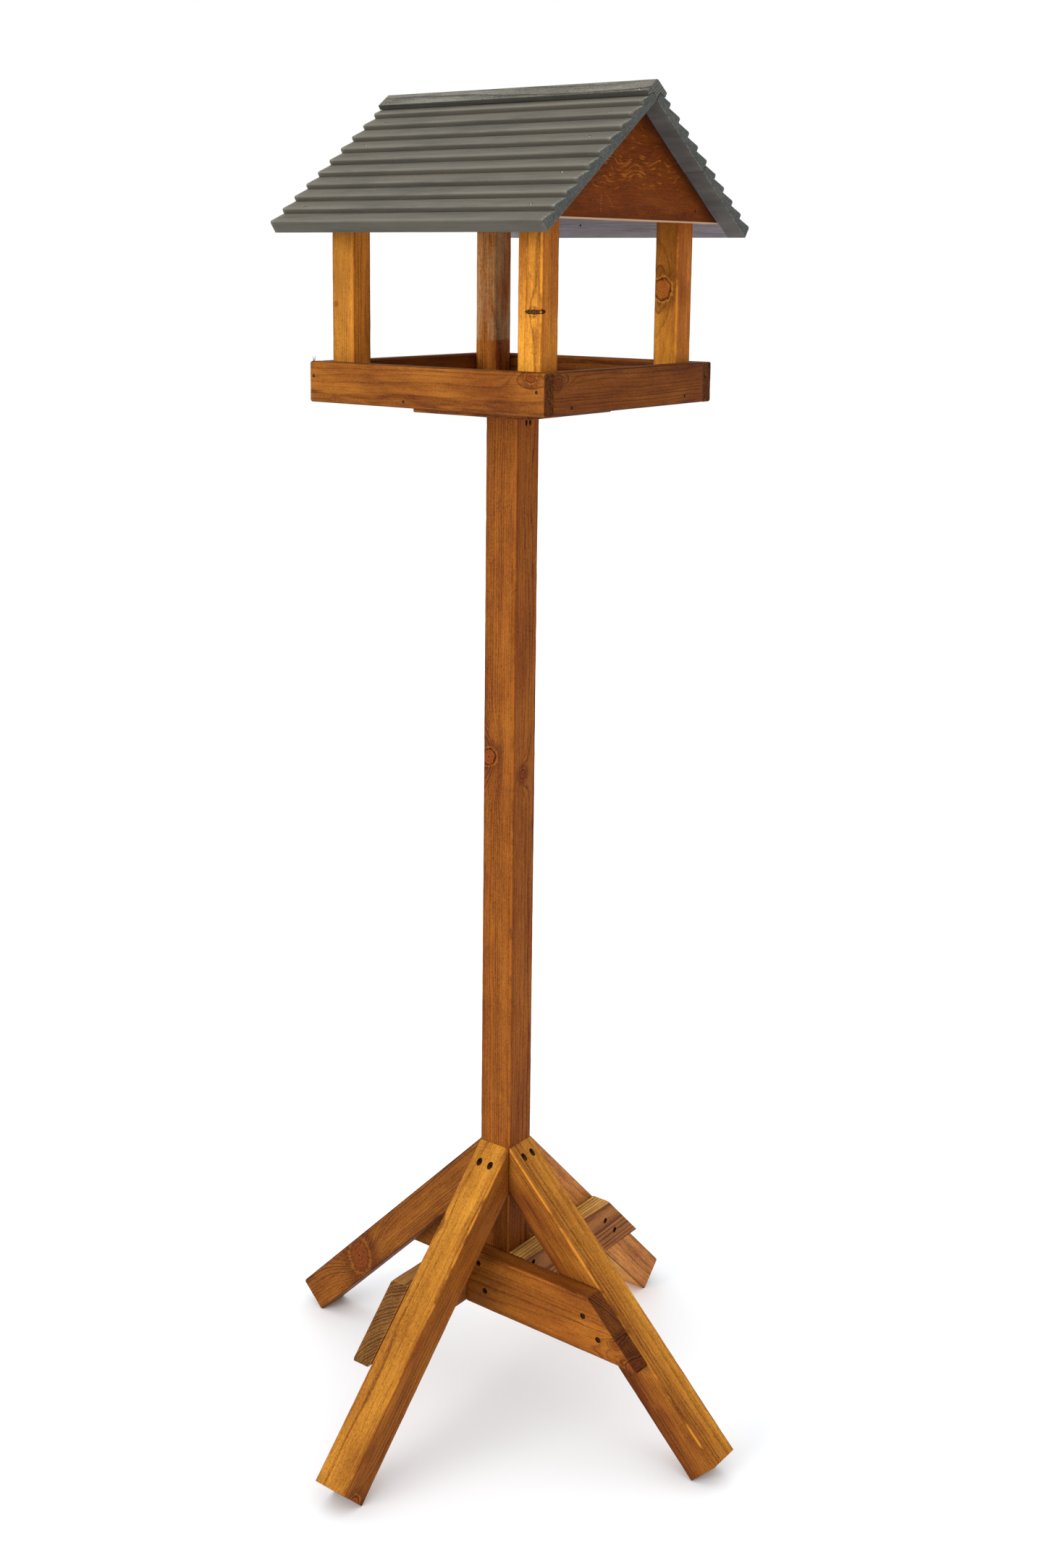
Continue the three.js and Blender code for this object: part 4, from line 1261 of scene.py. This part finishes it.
def section_point(side, distance, out):
    """A point (y, z) of the roof's cross-section, from its distance down the slope from the ridge
    and its height out from the underside."""
    return side * (distance * COS_ROOF + out * SIN_ROOF), out * COS_ROOF - distance * SIN_ROOF


def cap_outline():
    bearing = LAP_BASE + LAP_RISE / LAP_PITCH * CAP_REACH + 2 * GAP
    apex = CAP_FACE / COS_ROOF
    shoulder = (CAP_ROUNDING * COS_ROOF, apex - CAP_ROUNDING * SIN_ROOF)
    steps = ((0, LAP_BASE + GAP), (CAP_REACH, bearing), (CAP_REACH, CAP_FACE - 0.6),
             (CAP_REACH - 0.2, CAP_FACE - 0.15), (CAP_REACH - 0.8, CAP_FACE))
    right_half = [section_point(1, distance, out) for distance, out in steps] + [shoulder]
    left_half = [(-x, z) for x, z in reversed(right_half)]
    crown = [bow(shoulder, (0, apex), left_half[0], k / 6) for k in range(1, 6)]
    return [(0, GAP)] + right_half + crown + left_half


def make_ridge_cap():
    paint, nodes, shader, colour = wood_surface(
        "cap_paint", CAP_PLACE, "slate", 51, (-30, -55), spacing=6.0, wander=34.0, contrast=0.9, blotch=1.4,
        texture=0.8, deepen=(1.0, 1.05))
    across, height, _ = nodes.place().split()
    # painted shade: the cap's lower edge face is darkened nearly to black, as in the shade under its step
    reach = height * -SIN_ROOF + abs(across) * COS_ROOF
    edge = reach.ramp(CAP_REACH - 1.0, CAP_REACH - 0.3, 0.0, 0.85)
    nodes.put(shader.inputs["Base Color"], colour.to((0.024, 0.023, 0.020), edge))
    piece = sweep("ridge_cap_board", outline_section(cap_outline()), (-HALF_ROOF, 0, 0), (HALF_ROOF, 0, 0),
                  CAP_PLACE, CAP_PLACE, [paint, end_material("cap_end_paint", PAINT_END, 52, ribs=3.2)],
                  seed=50, edge=0.7, wear=0.0, caps="face")
    cut_away(piece, HOLES["ridge_cap"], RAW_WOOD_AND_HOLE_SHADE, CAP_PLACE)
    settle(piece, "painted_roof", "ridge_cap")


def make_roof_nails():
    """Painted nail heads over the gables and along the cap, and the tip of one that came through."""
    paint, nodes, shader = new_material("nail_paint")
    worn = nodes.noise(nodes.place(), 0.5)
    colour = nodes.mix(worn.ramp(0.46, 0.52), PAINT, (0.50, 0.48, 0.42))
    finish_surface(nodes, shader, colour, 0.6, worn, 0.1)

    def spread(outwards, distance, out, x):
        """A pair of nails, each (head, direction), at a place on a slope."""
        y, z = section_point(outwards, distance, out)
        return [((side * x, y, RIDGE + z), (0, -outwards * SIN_ROOF, -COS_ROOF)) for side in (-1, 1)]

    for side, outwards in (("front", -1), ("back", 1)):
        for part, start, spots in (("upper", UPPER_START, (41.0, 85.0)),
                                   ("lower", LOWER_START, (28.0, 89.0))):
            places = []
            for spot in spots:
                out = LAP_BASE + LAP_RISE * (spot / LAP_PITCH % 1)
                places.extend(spread(outwards, start + spot, out, RIM_MIDDLE))
            board = f"roof_{side}_{part}"
            drive_pins(board + "_nails", "painted_roof", paint, places, board, depth=0.4)
    places = [nail for side in (-1, 1) for nail in spread(side, CAP_REACH - 4.0, CAP_FACE, HALF_ROOF - 12)]
    drive_pins("ridge_cap_nails", "painted_roof", paint, places, "ridge_cap", depth=0.4)

    y, z = section_point(1, NAIL_THROUGH, 0.0)
    place = driven((-30.0, y, RIDGE + z), (0.25, -SIN_ROOF, -COS_ROOF))
    top, bore = 6.0, PIN_SHANK + GAP
    tip = lathe([(0, -3.4), (PIN_SHANK, -1.4), (PIN_SHANK, top), (0, top)], 16)
    settle(fastener("roof_nail_tip", tip, place), "fixings")
    hole = lathe([(0, -5.0), (bore, -5.0), (bore, top + GAP), (0, top + GAP)], 16)
    note_hole(hole, place, "roof_back_lower")


make_roof_nails()
make_slopes(end_material("roof_end_paint", PAINT_END, 2))
make_ridge_cap()
